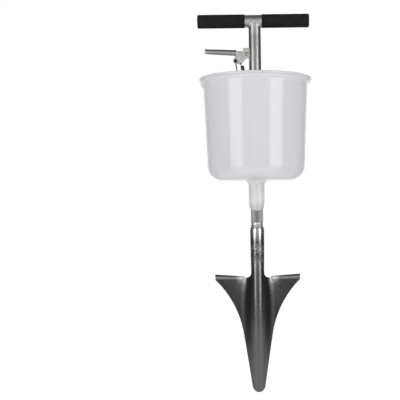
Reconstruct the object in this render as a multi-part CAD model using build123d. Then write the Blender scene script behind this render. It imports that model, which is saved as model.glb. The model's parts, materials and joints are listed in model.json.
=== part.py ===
from build123d import *
from math import asin, atan2, ceil, cos, dist, hypot, pi, radians, sin, sqrt
import os

# T-handled fertilizer applicator: crossbar, post, hopper with gate, squeeze lever and winged spade.
# Millimetres, +Z up. The origin is at the spade's tip on the post's axis, and the tool's front faces -Y.

# Heights, stacked up from the spade's tip to the crossbar's axis
BLADE_LENGTH = 321.0
BLADE_NECK_LENGTH = 36.0
BLADE_SEAM = 4.0
SOCKET_LENGTH = 76.0
SOCKET_SEAM = 10.0
POST_BARE = 40.0
NECK_LENGTH = 71.0
HOPPER_DEPTH = 268.0
HANDLE_RISE = 152.0

# Stock tube of the crossbar and the post
TUBE_OD = 32.0
TUBE_WALL = 1.5
COPE_GAP = 0.15

# Crossbar and grips
BAR_LENGTH = 289.4
BAR_SHIFT = -3.6
BARE_LEFT = 7.8
BARE_RIGHT = 0.6
GRIP_WALL = 2.0
GRIP_END = 2.5
GRIP_FIT = 0.05
GRIP_EDGE_SHARE = 0.8
TEE_BEAD = 2.0

# Windows in the post above the hopper's floor
WINDOW_COUNT = 3
WINDOW_WIDTH = 16.0
WINDOW_HEIGHT = 9.0
WINDOW_SILL = 1.5
WINDOW_TURN = 90.0

# Lever bracket, a folded channel open at the bottom
PIVOT_CLEAR = 7.5
PIVOT_DROP = 87.0
BRACKET_REACH = 7.5
BRACKET_TOP = 15.6
BRACKET_DROP = 10.0
BRACKET_SHEET = 3.0
BRACKET_CORNER = 5.0
BRACKET_BEAD = 2.0
CRANK_PLAY = 0.5

# Bell crank, a flat plate; its points are measured from the pivot
CRANK_SHEET = 4.0
CRANK_HUB = 6.5
ROD_EYE_REACH = 28.0
ROD_EYE_DROP = 17.8
CRANK_ROD_LOBE = 6.6
SPRING_EYE_REACH = 15.0
SPRING_EYE_DROP = 21.5
CRANK_SPRING_LOBE = 5.4
CRANK_SPRING_HOLE = 3.8
CORNER_REACH = 19.0
CORNER_RISE = 2.0
CRANK_CORNER = 6.4
CRANK_THROAT = 6.0
TONGUE_LENGTH = 14.0
TONGUE_FIT = 0.25

# Hand lever, a tube that is flattened where it meets the crank; measured from the pivot
LEVER_ROOT_REACH = 25.8
LEVER_ROOT_RISE = 3.6
LEVER_TIP_REACH = 108.9
LEVER_TIP_RISE = 8.0
LEVER_OD = 12.7
LEVER_WALL = 1.4
LEVER_ROOT_HEIGHT = 15.3
LEVER_ROOT_WIDTH = 9.6
LEVER_BEAD = 1.3

# Bolts and their running fits
PIVOT_BOLT = 6.0
PIVOT_HEAD = 10.0
PIVOT_HEAD_HEIGHT = 3.0
PIVOT_NUT_FLATS = 10.0
PIVOT_NUT_HEIGHT = 5.0
WASHER_OD = 12.0
WASHER_SHEET = 1.2
ROD_BOLT = 5.0
ROD_HEAD = 9.6
ROD_HEAD_HEIGHT = 3.2
ROD_NUT_FLATS = 8.0
ROD_NUT_HEIGHT = 4.0
BOLT_STICKOUT = 1.5
HEAD_DOME_SHARE = 0.6
RUNNING_FIT = 0.06
SIDE_PLAY = 0.6

# Pull rod; its hook is measured from the post's side and the gate's foot
ROD_DIA = 3.0
ROD_EYE_OD = 10.0
ROD_HOOK_CLEAR = 11.0
ROD_HOOK_RISE = 47.7
ROD_KNEE_RISE = 93.0
ROD_KNEE_RADIUS = 60.0
ROD_HOOK_RADIUS = 4.0
ROD_HOOK_TAIL = 5.0
ROD_HOOK_PLAY = 1.1
CLIP_OD = 8.0
CLIP_SHEET = 1.0
CLIP_GAP = 0.6

# Gate sleeve and floor seal
GATE_FIT = 0.08
GATE_WALL = 3.0
GATE_HEIGHT = 34.0
GATE_LIP = 2.5
GATE_LIP_HEIGHT = 4.0
GATE_REST = 0.3
EAR_SHEET = 4.0
EAR_LOBE = 6.0
SEAL_HEIGHT = 3.0
SEAL_WIDTH = 7.4
SEAL_FIT = 0.1

# Return spring and the tab that holds its lower hook
SPRING_WIRE = 1.6
SPRING_MEAN_RADIUS = 4.0
SPRING_TURNS = 11
SPRING_PITCH = 2.3
SPRING_BEND = 2.4
SPRING_HOOK_TAIL = 1.5
SPRING_TOP_STEM = 3.0
SPRING_SEAT_PLAY = 0.05
SPRING_SAMPLE = 0.5
ANCHOR_CLEAR = 6.0
ANCHOR_DROP = 54.5
ANCHOR_LOBE = 5.0
ANCHOR_SHEET = 3.0
ANCHOR_HEIGHT = 16.0
ANCHOR_HOLE = 3.6
ANCHOR_BEAD = 1.5

# Hopper, a moulded bucket with a neck and a pouring lip
HOPPER_WALL = 2.6
HOPPER_FLOOR = 3.0
HOPPER_FOOT_RADIUS = 126.6
HOPPER_DRAFT = 11.3
HOPPER_CORNER = 38.0
RIM_REACH = 10.3
RIM_HEIGHT = 13.5
RIM_UNDERCUT = 4.5
RIM_SLOPE_HEIGHT = 8.1
RIM_ROUND = 3.4
RIM_FILLET = 3.0
NECK_WALL = 4.85
NECK_TAPER = 0.5
NECK_END_SLOPE = 28.0
NECK_END_ROUND = 3.0
NECK_FILLET = 14.0
NECK_FIT = 0.15
LIP_DROP = 28.0
LIP_TILT = 42.0
LIP_RADIUS = 20.0
LIP_RUN = 45.0

# Neck screws
SCREW_DIA = 4.0
SCREW_HEAD = 8.0
SCREW_HEAD_HEIGHT = 2.6
SCREW_TIP = 1.0
SCREW_FIT = 0.1
SCREW_DROP = 22.0
SCREW_SPACING = 26.0

# Socket tube and welds
SOCKET_TOP_RADIUS = 15.3
SOCKET_RADIUS = 18.7
SOCKET_FOOT_RADIUS = 18.05
SOCKET_SHOULDER = 13.0
SOCKET_WALL = 2.2
WELD_WAIST = 0.8
WELD_BEAD = 0.6

# Spade head, one pressed sheet
BLADE_SHEET = 2.2
BLADE_NECK_FOOT_RADIUS = 17.1
BLADE_MOUTH_RISE = 30.0
BLADE_TIP_RADIUS = 17.0
BLADE_WAIST_Z = 152.0
BLADE_WAIST_HALF = 38.3
WING_HALF = 112.5
WING_EDGE_DROP = 15.6
WING_PLANE_Y = 8.0
WING_ROOT_FILLET = 28.0
TREAD_STEP = 11.0
TREAD_BEND = 9.0
TREAD_DEPTH = 16.0
TREAD_INNER = 40.0
TREAD_INNER_BEND = 3.6
TREAD_INNER_DEPTH = 8.0
TREAD_CORNER = 3.0
FROG_SHOULDER_HALF = 35.0
FROG_SHOULDER_LIP = 1.0
TIP_RIDGE_RADIUS = 22.0
TIP_RIDGE_Y = -6.0

# Sections of the spade's sheet from the foot up: share of the blade's length, how far the ridge has
# flattened towards its shape at the tip, and the frog's half-width
BLADE_SECTIONS = (
    (-0.003, 1.0, 30.0),
    (0.234, 0.5, 33.5),
    (0.467, 0.2, 37.5),
    (0.670, 0.0, 40.5),
    (0.835, 0.0, 35.5),
    (1.0, 0.0, 24.5),
)

TUBE_RADIUS = TUBE_OD / 2
TUBE_BORE = TUBE_RADIUS - TUBE_WALL

BLADE_NECK_TOP_Z = BLADE_LENGTH + BLADE_NECK_LENGTH
SOCKET_FOOT_Z = BLADE_NECK_TOP_Z + BLADE_SEAM
SOCKET_TOP_Z = SOCKET_FOOT_Z + SOCKET_LENGTH
POST_FOOT_Z = SOCKET_TOP_Z + SOCKET_SEAM
NECK_END_Z = POST_FOOT_Z + POST_BARE
HOPPER_FLOOR_Z = NECK_END_Z + NECK_LENGTH
HOPPER_RIM_Z = HOPPER_FLOOR_Z + HOPPER_DEPTH
BAR_AXIS_Z = HOPPER_RIM_Z + HANDLE_RISE
TREAD_TOP_Z = BLADE_LENGTH - TREAD_STEP
TREAD_FOOT_Z = TREAD_TOP_Z - TREAD_BEND - BLADE_SHEET

FLOOR_TOP_Z = HOPPER_FLOOR_Z + HOPPER_FLOOR
SEAL_TOP_Z = FLOOR_TOP_Z + SEAL_HEIGHT
GATE_FOOT_Z = SEAL_TOP_Z + GATE_REST
RIM_RADIUS = HOPPER_FOOT_RADIUS + HOPPER_DRAFT + RIM_REACH
RIM_UNDER_Z = HOPPER_RIM_Z - RIM_HEIGHT
NECK_RADIUS = TUBE_RADIUS + NECK_FIT + NECK_WALL

PIVOT_X = -TUBE_RADIUS - PIVOT_CLEAR
PIVOT_Z = BAR_AXIS_Z - PIVOT_DROP
BRACKET_TOP_Z = PIVOT_Z + BRACKET_TOP
CHEEK_INNER = CRANK_SHEET / 2 + CRANK_PLAY
CHEEK_OUTER = CHEEK_INNER + BRACKET_SHEET
CORNER_X = PIVOT_X - CORNER_REACH
CORNER_Z = PIVOT_Z + CORNER_RISE
ROD_EYE_X = PIVOT_X - ROD_EYE_REACH
ROD_EYE_Z = PIVOT_Z - ROD_EYE_DROP
SPRING_EYE_X = PIVOT_X - SPRING_EYE_REACH
SPRING_EYE_Z = PIVOT_Z - SPRING_EYE_DROP
ANCHOR_X = -TUBE_RADIUS - ANCHOR_CLEAR
ANCHOR_Z = SPRING_EYE_Z - ANCHOR_DROP
PIVOT_NUT_FRONT = CHEEK_OUTER + WASHER_SHEET

ROD_PLANE_Y = CRANK_SHEET / 2 + SIDE_PLAY + ROD_DIA / 2
ROD_NUT_FRONT = ROD_PLANE_Y + ROD_DIA / 2 + SIDE_PLAY
ROD_HOOK_X = -TUBE_RADIUS - ROD_HOOK_CLEAR
ROD_HOOK_Z = GATE_FOOT_Z + ROD_HOOK_RISE
ROD_KNEE_Z = ROD_HOOK_Z + ROD_KNEE_RISE


def ring(outer, inner, bottom, top):
    """Straight tube about the post's axis."""
    return Pos(0, 0, bottom) * extrude(Circle(outer) - Circle(inner), top - bottom)


def disc_y(radius, front, back, x, z):
    """Cylinder along Y between two depths."""
    return Pos(x, (front + back) / 2, z) * Rot(90, 0, 0) * Cylinder(radius, back - front)


def plate_y(outline, front, back):
    """Flat plate cut to a front-view outline, between two depths."""
    return Pos(0, back, 0) * extrude(Plane.XZ * outline, back - front)


def bar_x(radius, left, right):
    """Cylinder along the crossbar's axis."""
    return Pos((left + right) / 2, 0, BAR_AXIS_Z) * Rot(0, 90, 0) * Cylinder(radius, right - left)


def round_at(radius, x, z):
    """Circle in a front-view outline."""
    return Pos(x, z) * Circle(radius)


def hex_nut(flats, bore, front, back, x, z):
    """Plain hexagon nut on a bolt along Y."""
    hexagon = RegularPolygon(flats / 2, 6, major_radius=False)
    blank = Pos(x, back, z) * Rot(90, 0, 0) * extrude(hexagon, back - front)
    return blank - disc_y(bore, front, back, x, z)


def round_head_bolt(diameter, head, head_height, head_back, tip, x, z):
    """Bolt along Y with a low domed head at the front."""
    cap = disc_y(head / 2, head_back - head_height, head_back, x, z)
    edge = cap.edges().filter_by(GeomType.CIRCLE).sort_by(Axis.Y)[0]
    cap = fillet(edge, HEAD_DOME_SHARE * head_height)
    return cap + disc_y(diameter / 2, head_back - head_height / 2, tip, x, z)


def upright_bead(radius, x, y, bottom, top):
    """Straight weld bead along Z, before the pieces that it joins are cut away."""
    return Pos(x, y, (bottom + top) / 2) * Cylinder(radius, top - bottom)


def spun(points):
    """Solid of revolution about Z from a closed outline of (radius, height) points."""
    return revolve(Plane.XZ * make_face(Polyline(*points, close=True)), Axis.Z)


# Crossbar and grips

def crossbar():
    left = BAR_SHIFT - BAR_LENGTH / 2
    right = BAR_SHIFT + BAR_LENGTH / 2
    return bar_x(TUBE_RADIUS, left, right) - bar_x(TUBE_BORE, left, right)


def grip(side):
    """Sleeve with a closed outer end, up to the bare bar beside the weld; side is -1 on the left."""
    bar_end = BAR_SHIFT + side * BAR_LENGTH / 2
    outer_end = bar_end + side * GRIP_END
    bare = BARE_RIGHT if side > 0 else BARE_LEFT
    inner_end = side * (TUBE_RADIUS + TEE_BEAD + bare)
    body = bar_x(TUBE_RADIUS + GRIP_WALL, min(outer_end, inner_end), max(outer_end, inner_end))
    edges = body.edges().filter_by(GeomType.CIRCLE)
    body = fillet(edges, GRIP_EDGE_SHARE * GRIP_WALL)
    return body - bar_x(TUBE_RADIUS + GRIP_FIT, min(bar_end, inner_end), max(bar_end, inner_end))


def tee_weld():
    """Bead that follows the saddle where two equal tubes meet: two half ellipses in sloped planes."""
    bead = Part()
    long_half = TUBE_RADIUS * sqrt(2)
    for side in (-1, 1):
        slope = Plane((0, 0, BAR_AXIS_Z), x_dir=(side, 0, -1), z_dir=(1, 0, side))
        arc = slope * EllipticalCenterArc((0, 0), long_half, TUBE_RADIUS, -90, arc_size=180)
        bead += sweep(Plane(arc @ 0, z_dir=arc % 0) * Circle(TEE_BEAD), arc)
    seat = TUBE_RADIUS + COPE_GAP
    bar_space = bar_x(seat, -2 * TUBE_OD, 2 * TUBE_OD)
    post_space = Pos(0, 0, BAR_AXIS_Z - TUBE_OD) * Cylinder(seat, 2 * TUBE_OD)
    return bead - bar_space - post_space


# Post

def window_cutters():
    middle = GATE_FOOT_Z + WINDOW_SILL + WINDOW_HEIGHT / 2
    block = Box(TUBE_OD, WINDOW_WIDTH, WINDOW_HEIGHT)
    cutters = Part()
    for index in range(WINDOW_COUNT):
        turn = Rot(0, 0, WINDOW_TURN + index * 360 / WINDOW_COUNT)
        cutters += turn * Pos(TUBE_RADIUS, 0, middle) * block
    return cutters


def screw_heights():
    top = HOPPER_FLOOR_Z - SCREW_DROP
    return [top, top - SCREW_SPACING]


def handle_post():
    tube = ring(TUBE_RADIUS, TUBE_BORE, POST_FOOT_Z, BAR_AXIS_Z)
    tube -= bar_x(TUBE_RADIUS + COPE_GAP, -TUBE_OD, TUBE_OD)
    tube -= window_cutters()
    for height in screw_heights():
        tube -= disc_y(SCREW_DIA / 2, 0, TUBE_OD, 0, height)
    return tube


# Lever bracket and its pivot

def bracket_outline():
    """Front view of a cheek, run on into the post before it is coped."""
    left = PIVOT_X - BRACKET_REACH
    foot = PIVOT_Z - BRACKET_DROP
    corners = [(left, foot), (0, foot), (0, BRACKET_TOP_Z), (left, BRACKET_TOP_Z)]
    blank = make_face(Polyline(*corners, close=True))
    return fillet(blank.vertices().sort_by_distance((left, foot))[0], BRACKET_CORNER)


def lever_bracket():
    channel = plate_y(bracket_outline(), -CHEEK_OUTER, CHEEK_OUTER)
    slot_top = BRACKET_TOP_Z - BRACKET_SHEET
    channel -= Pos(0, 0, slot_top - TUBE_OD) * Box(4 * TUBE_OD, 2 * CHEEK_INNER, 2 * TUBE_OD)
    channel -= Pos(0, 0, PIVOT_Z) * Cylinder(TUBE_RADIUS + COPE_GAP, 4 * TUBE_OD)
    channel -= disc_y(PIVOT_BOLT / 2 + RUNNING_FIT, -TUBE_OD, TUBE_OD, PIVOT_X, PIVOT_Z)
    return channel


def bracket_weld():
    """One upright bead on each side, in the corner between cheek and post."""
    foot_x = -sqrt(TUBE_RADIUS ** 2 - CHEEK_OUTER ** 2)
    bottom = PIVOT_Z - BRACKET_DROP
    beads = Part()
    for side in (-1, 1):
        beads += upright_bead(BRACKET_BEAD, foot_x, side * CHEEK_OUTER, bottom, BRACKET_TOP_Z)
    beads -= plate_y(bracket_outline(), -CHEEK_OUTER, CHEEK_OUTER)
    return beads - Pos(0, 0, PIVOT_Z) * Cylinder(TUBE_RADIUS, 4 * TUBE_OD)


def lever_pivot_bolt():
    tip = PIVOT_NUT_FRONT + PIVOT_NUT_HEIGHT + BOLT_STICKOUT
    return round_head_bolt(PIVOT_BOLT, PIVOT_HEAD, PIVOT_HEAD_HEIGHT, -CHEEK_OUTER, tip, PIVOT_X, PIVOT_Z)


def lever_pivot_washer():
    blank = disc_y(WASHER_OD / 2, CHEEK_OUTER, PIVOT_NUT_FRONT, PIVOT_X, PIVOT_Z)
    return blank - disc_y(PIVOT_BOLT / 2 + RUNNING_FIT, CHEEK_OUTER, PIVOT_NUT_FRONT, PIVOT_X, PIVOT_Z)


def lever_pivot_nut():
    back = PIVOT_NUT_FRONT + PIVOT_NUT_HEIGHT
    return hex_nut(PIVOT_NUT_FLATS, PIVOT_BOLT / 2, PIVOT_NUT_FRONT, back, PIVOT_X, PIVOT_Z)


# Bell crank and hand lever

LEVER_ROOT = Vector(PIVOT_X - LEVER_ROOT_REACH, 0, PIVOT_Z + LEVER_ROOT_RISE)
LEVER_TIP = Vector(PIVOT_X - LEVER_TIP_REACH, 0, PIVOT_Z + LEVER_TIP_RISE)
LEVER_RUN = (LEVER_TIP - LEVER_ROOT).length
LEVER_PLANE = Plane(LEVER_ROOT, x_dir=(0, 1, 0), z_dir=LEVER_TIP - LEVER_ROOT)


def lever_profile(inset):
    """Tapered bar from the flattened root to the round tip, smaller all round by the inset."""
    root = LEVER_PLANE * Ellipse(LEVER_ROOT_WIDTH / 2 - inset, LEVER_ROOT_HEIGHT / 2 - inset)
    tip = LEVER_PLANE.offset(LEVER_RUN) * Ellipse(LEVER_OD / 2 - inset, LEVER_OD / 2 - inset)
    return loft([root, tip])


def hand_lever():
    return lever_profile(0) - lever_profile(LEVER_WALL)


def tongue():
    """End of the crank plate that is slid into the lever's flattened mouth."""
    half_width = LEVER_ROOT_WIDTH / 2 - LEVER_WALL
    root_half = LEVER_ROOT_HEIGHT / 2 - LEVER_WALL
    tip_half = LEVER_OD / 2 - LEVER_WALL
    end_half = root_half + (tip_half - root_half) * TONGUE_LENGTH / LEVER_RUN
    half_height = end_half * sqrt(1 - (CRANK_SHEET / 2 / half_width) ** 2) - TONGUE_FIT
    reach = LEVER_ROOT.X - CORNER_X
    middle = (TONGUE_LENGTH + reach) / 2
    return LEVER_PLANE * Pos(0, 0, middle) * Box(CRANK_SHEET, 2 * half_height, TONGUE_LENGTH - reach)


def bell_crank():
    corner = round_at(CRANK_CORNER, CORNER_X, CORNER_Z)
    hub = round_at(CRANK_HUB, PIVOT_X, PIVOT_Z)
    rod_lobe = round_at(CRANK_ROD_LOBE, ROD_EYE_X, ROD_EYE_Z)
    spring_lobe = round_at(CRANK_SPRING_LOBE, SPRING_EYE_X, SPRING_EYE_Z)
    arm = make_hull((corner + hub).edges())
    web = make_hull((Sketch() + corner + rod_lobe + spring_lobe).edges())
    outline = arm + web
    throat_guess = (SPRING_EYE_X + CRANK_SPRING_LOBE, PIVOT_Z - CRANK_HUB)
    throat = outline.vertices().sort_by_distance(throat_guess)[0]
    outline = fillet(throat, CRANK_THROAT)
    outline -= round_at(PIVOT_BOLT / 2 + RUNNING_FIT, PIVOT_X, PIVOT_Z)
    outline -= round_at(ROD_BOLT / 2 + RUNNING_FIT, ROD_EYE_X, ROD_EYE_Z)
    outline -= round_at(CRANK_SPRING_HOLE / 2, SPRING_EYE_X, SPRING_EYE_Z)
    plate = plate_y(outline, -CRANK_SHEET / 2, CRANK_SHEET / 2)
    return plate - lever_profile(0) + tongue()


def lever_weld():
    """One bead on each face of the crank, along the lever's mouth."""
    reach = LEVER_ROOT_HEIGHT / 2 - LEVER_WALL
    bar = Rot(90, 0, 0) * Cylinder(LEVER_BEAD, 2 * reach)
    beads = Part()
    for side in (-1, 1):
        beads += LEVER_PLANE * Pos(side * CRANK_SHEET / 2, 0, 0) * bar
    return beads - bell_crank() - lever_profile(0)


# Pull rod and its fasteners

def pull_rod_bolt():
    tip = ROD_NUT_FRONT + ROD_NUT_HEIGHT + BOLT_STICKOUT
    return round_head_bolt(ROD_BOLT, ROD_HEAD, ROD_HEAD_HEIGHT, -CRANK_SHEET / 2, tip, ROD_EYE_X, ROD_EYE_Z)


def pull_rod_nut():
    back = ROD_NUT_FRONT + ROD_NUT_HEIGHT
    return hex_nut(ROD_NUT_FLATS, ROD_BOLT / 2, ROD_NUT_FRONT, back, ROD_EYE_X, ROD_EYE_Z)


def pull_rod():
    """Rod with a flat eye at the top, a knee beside the post and a hook at the foot."""
    tail_y = -EAR_SHEET / 2 - ROD_HOOK_TAIL
    path = FilletPolyline(
        (ROD_EYE_X, ROD_PLANE_Y, ROD_EYE_Z),
        (ROD_HOOK_X, ROD_PLANE_Y, ROD_KNEE_Z),
        (ROD_HOOK_X, ROD_PLANE_Y, ROD_HOOK_Z),
        (ROD_HOOK_X, tail_y, ROD_HOOK_Z),
        radius=[ROD_KNEE_RADIUS, ROD_HOOK_RADIUS])
    rod = sweep(Plane(path @ 0, z_dir=path % 0) * Circle(ROD_DIA / 2), path)
    front = ROD_PLANE_Y - ROD_DIA / 2
    back = ROD_PLANE_Y + ROD_DIA / 2
    rod += disc_y(ROD_EYE_OD / 2, front, back, ROD_EYE_X, ROD_EYE_Z)
    return rod - disc_y(ROD_BOLT / 2 + RUNNING_FIT, front - ROD_DIA, back + ROD_DIA, ROD_EYE_X, ROD_EYE_Z)


def pull_rod_clip():
    back = -EAR_SHEET / 2 - CLIP_GAP
    blank = disc_y(CLIP_OD / 2, back - CLIP_SHEET, back, ROD_HOOK_X, ROD_HOOK_Z)
    return blank - disc_y(ROD_DIA / 2, back - CLIP_SHEET, back, ROD_HOOK_X, ROD_HOOK_Z)


# Gate sleeve and floor seal

def gate_sleeve():
    bore = TUBE_RADIUS + GATE_FIT
    outer = bore + GATE_WALL
    top = GATE_FOOT_Z + GATE_HEIGHT
    sleeve = ring(outer, bore, GATE_FOOT_Z, top)
    sleeve += ring(outer + GATE_LIP, bore, GATE_FOOT_Z, GATE_FOOT_Z + GATE_LIP_HEIGHT)
    lobe = round_at(EAR_LOBE, ROD_HOOK_X, ROD_HOOK_Z)
    root_low = round_at(EAR_LOBE, -bore, GATE_FOOT_Z + GATE_LIP_HEIGHT + EAR_LOBE)
    root_high = round_at(EAR_LOBE, -bore, top - EAR_LOBE)
    outline = make_hull((Sketch() + lobe + root_low + root_high).edges())
    outline -= round_at(ROD_DIA / 2 + ROD_HOOK_PLAY, ROD_HOOK_X, ROD_HOOK_Z)
    ear = plate_y(outline, -EAR_SHEET / 2, EAR_SHEET / 2)
    return sleeve + (ear - Pos(0, 0, ROD_HOOK_Z) * Cylinder(bore, 4 * GATE_HEIGHT))


def floor_seal():
    inner = TUBE_RADIUS + SEAL_FIT
    return ring(inner + SEAL_WIDTH, inner, FLOOR_TOP_Z, SEAL_TOP_Z)


# Return spring and its anchor

def hook_seat(hole, sheet):
    """How far off the hole's centre the wire lies when the hook pulls on the hole's edge."""
    sag = SPRING_MEAN_RADIUS - sqrt(SPRING_MEAN_RADIUS ** 2 - (sheet / 2) ** 2)
    return (hole - SPRING_WIRE) / 2 - sag - SPRING_SEAT_PLAY


SPRING_EYE = Vector(SPRING_EYE_X, 0, SPRING_EYE_Z)
ANCHOR_EYE = Vector(ANCHOR_X, 0, ANCHOR_Z)
SPRING_PULL = (ANCHOR_EYE - SPRING_EYE).normalized()
SPRING_TOP = SPRING_EYE + SPRING_PULL * hook_seat(CRANK_SPRING_HOLE, CRANK_SHEET)
SPRING_FOOT = ANCHOR_EYE - SPRING_PULL * hook_seat(ANCHOR_HOLE, ANCHOR_SHEET)
SPRING_SLOPE = SPRING_PITCH / (2 * pi * SPRING_MEAN_RADIUS)
SPRING_BEND_ANGLE = radians(90) - atan2(SPRING_SLOPE, 1)
SPRING_HOOK_SIDE = SPRING_BEND * (1 - cos(SPRING_BEND_ANGLE))
SPRING_HALF_SPAN = (SPRING_FOOT - SPRING_TOP).length / 2
SPRING_LEAN = atan2(SPRING_PULL.X, -SPRING_PULL.Z) - asin(SPRING_HOOK_SIDE / SPRING_HALF_SPAN)


def spring_way(across, depth, along):
    """Direction in the spring's own axes: across its axis in the front view, in depth and up along it."""
    x = across * cos(SPRING_LEAN) - along * sin(SPRING_LEAN)
    z = across * sin(SPRING_LEAN) + along * cos(SPRING_LEAN)
    return Vector(x, depth, z)


def spring_at(across, depth, along):
    """Point in the spring's own axes, from the middle between its hooks."""
    return (SPRING_TOP + SPRING_FOOT) * 0.5 + spring_way(across, depth, along)


def biarc(start, start_way, end, end_way):
    """Two arcs that join two points with given directions and meet smoothly between them."""
    span = end - start
    spread = 2 * (1 - start_way.dot(end_way))
    along = span.dot(start_way + end_way)
    reach = (sqrt(along ** 2 + spread * span.dot(span)) - along) / spread
    first = start + start_way * reach
    last = end - end_way * reach
    middle = (first + last) * 0.5
    return [TangentArc(start, middle, tangent=start_way), TangentArc(middle, end, tangent=last - first)]


def least_gap(edges):
    """Smallest clear space between stretches of the wire that are half a turn or more apart along it."""
    spots = []
    reach = 0
    for edge in edges:
        steps = ceil(edge.length / SPRING_SAMPLE)
        for step in range(steps):
            spots.append((reach + edge.length * step / steps, tuple(edge @ (step / steps))))
        reach += edge.length
    apart = pi * SPRING_MEAN_RADIUS
    gaps = [dist(a[1], b[1]) for i, a in enumerate(spots) for b in spots[i:] if b[0] - a[0] > apart]
    return min(gaps) - SPRING_WIRE


def return_spring():
    """Tension spring as one wire: a hook, a stem, the coil, a longer stem and a hook."""
    radius = SPRING_MEAN_RADIUS
    side = SPRING_HOOK_SIDE
    run = 1 / sqrt(1 + SPRING_SLOPE ** 2)
    lift = SPRING_BEND * sin(SPRING_BEND_ANGLE)
    hook = sqrt(SPRING_HALF_SPAN ** 2 - side ** 2)
    stem_end = hook - radius
    coil_top = stem_end - SPRING_TOP_STEM - lift
    coil_foot = coil_top - SPRING_TURNS * SPRING_PITCH

    def coil_at(turn):
        angle = pi / 2 - 2 * pi * turn
        spot = spring_at(radius * cos(angle), radius * sin(angle), coil_top - SPRING_PITCH * turn)
        way = spring_way(sin(angle) * run, -cos(angle) * run, -SPRING_SLOPE * run)
        return spot, way

    def hook_arc(across, level, top, start_depth):
        return ThreePointArc(spring_at(across, start_depth, level), spring_at(across, 0, top),
                             spring_at(across, -start_depth, level))

    tail = spring_at(-side, -radius, stem_end - SPRING_HOOK_TAIL)
    top_stem = spring_at(-side, radius, coil_top + lift)
    foot_stem = spring_at(side, radius, coil_foot - lift)
    edges = [Line(tail, spring_at(-side, -radius, stem_end))]
    edges.append(hook_arc(-side, stem_end, hook, -radius))
    edges.append(Line(spring_at(-side, radius, stem_end), top_stem))
    edges.append(TangentArc(top_stem, coil_at(0)[0], tangent=spring_way(0, 0, -1)))
    for half in range(2 * SPRING_TURNS):
        edges += biarc(*coil_at(half / 2), *coil_at((half + 1) / 2))
    edges.append(TangentArc(coil_at(SPRING_TURNS)[0], foot_stem, tangent=coil_at(SPRING_TURNS)[1]))
    edges.append(Line(foot_stem, spring_at(side, radius, -stem_end)))
    edges.append(hook_arc(side, -stem_end, -hook, radius))
    edges.append(Line(spring_at(side, -radius, -stem_end),
                      spring_at(side, -radius, SPRING_HOOK_TAIL - stem_end)))
    print("spring: least gap to itself", round(least_gap(edges), 3), "mm")
    return sweep(Plane(tail, z_dir=spring_way(0, 0, 1)) * Circle(SPRING_WIRE / 2), Wire(edges))


def anchor_outline():
    lobe = round_at(ANCHOR_LOBE, ANCHOR_X, ANCHOR_Z)
    root = Pos(-TUBE_BORE, ANCHOR_Z) * Rectangle(TUBE_WALL, ANCHOR_HEIGHT)
    return make_hull((lobe + root).edges())


def spring_anchor():
    outline = anchor_outline() - round_at(ANCHOR_HOLE / 2, ANCHOR_X, ANCHOR_Z)
    tab = plate_y(outline, -ANCHOR_SHEET / 2, ANCHOR_SHEET / 2)
    return tab - Pos(0, 0, ANCHOR_Z) * Cylinder(TUBE_RADIUS + COPE_GAP, 4 * ANCHOR_HEIGHT)


def anchor_weld():
    foot_x = -sqrt(TUBE_RADIUS ** 2 - (ANCHOR_SHEET / 2) ** 2)
    bottom = ANCHOR_Z - ANCHOR_HEIGHT / 2
    top = ANCHOR_Z + ANCHOR_HEIGHT / 2
    beads = Part()
    for side in (-1, 1):
        beads += upright_bead(ANCHOR_BEAD, foot_x, side * ANCHOR_SHEET / 2, bottom, top)
    beads -= plate_y(anchor_outline(), -ANCHOR_SHEET / 2, ANCHOR_SHEET / 2)
    return beads - Pos(0, 0, ANCHOR_Z) * Cylinder(TUBE_RADIUS, 4 * ANCHOR_HEIGHT)


# Hopper

def wall_radius(height):
    """Outer radius of the drafted wall at a height."""
    return HOPPER_FOOT_RADIUS + HOPPER_DRAFT * (height - HOPPER_FLOOR_Z) / HOPPER_DEPTH


def neck_radius(height):
    """Outer radius of the tapered neck at a height."""
    return NECK_RADIUS - NECK_TAPER * (HOPPER_FLOOR_Z - height) / NECK_LENGTH


def bucket(inset, floor, top):
    """Drafted cup with a rounded foot, smaller all round by the inset."""
    points = [(0, floor), (wall_radius(floor) - inset, floor), (wall_radius(top) - inset, top), (0, top)]
    cup = make_face(Polyline(*points, close=True))
    foot = cup.vertices().sort_by_distance(points[1])[0]
    return revolve(Plane.XZ * fillet(foot, HOPPER_CORNER - inset), Axis.Z)


def rim():
    """Solid bead round the mouth, undercut at its outer edge."""
    inner = wall_radius(RIM_UNDER_Z) - HOPPER_WALL / 2
    skirt = RIM_RADIUS - RIM_UNDERCUT
    section = make_face(Polyline(
        (inner, RIM_UNDER_Z), (skirt, RIM_UNDER_Z), (RIM_RADIUS, RIM_UNDER_Z + RIM_SLOPE_HEIGHT),
        (RIM_RADIUS, HOPPER_RIM_Z), (inner, HOPPER_RIM_Z), close=True))
    outer = section.vertices().sort_by(Axis.X)[-3:]
    return revolve(Plane.XZ * fillet(outer, RIM_ROUND), Axis.Z)


def lip_barrel(inset, top):
    """Round channel that slopes out under the left of the rim, smaller all round by the inset."""
    foot_z = HOPPER_RIM_Z - LIP_DROP
    slope = Pos(-wall_radius(foot_z), 0, foot_z) * Rot(0, -LIP_TILT, 0)
    barrel = slope * Pos(LIP_RADIUS, 0, 0) * Cylinder(LIP_RADIUS - inset, 2 * LIP_RUN)
    reach = RIM_RADIUS - RIM_UNDERCUT / 2 - inset
    return barrel & ring(reach, HOPPER_FOOT_RADIUS - HOPPER_CORNER, HOPPER_RIM_Z - LIP_RUN, top)


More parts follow.
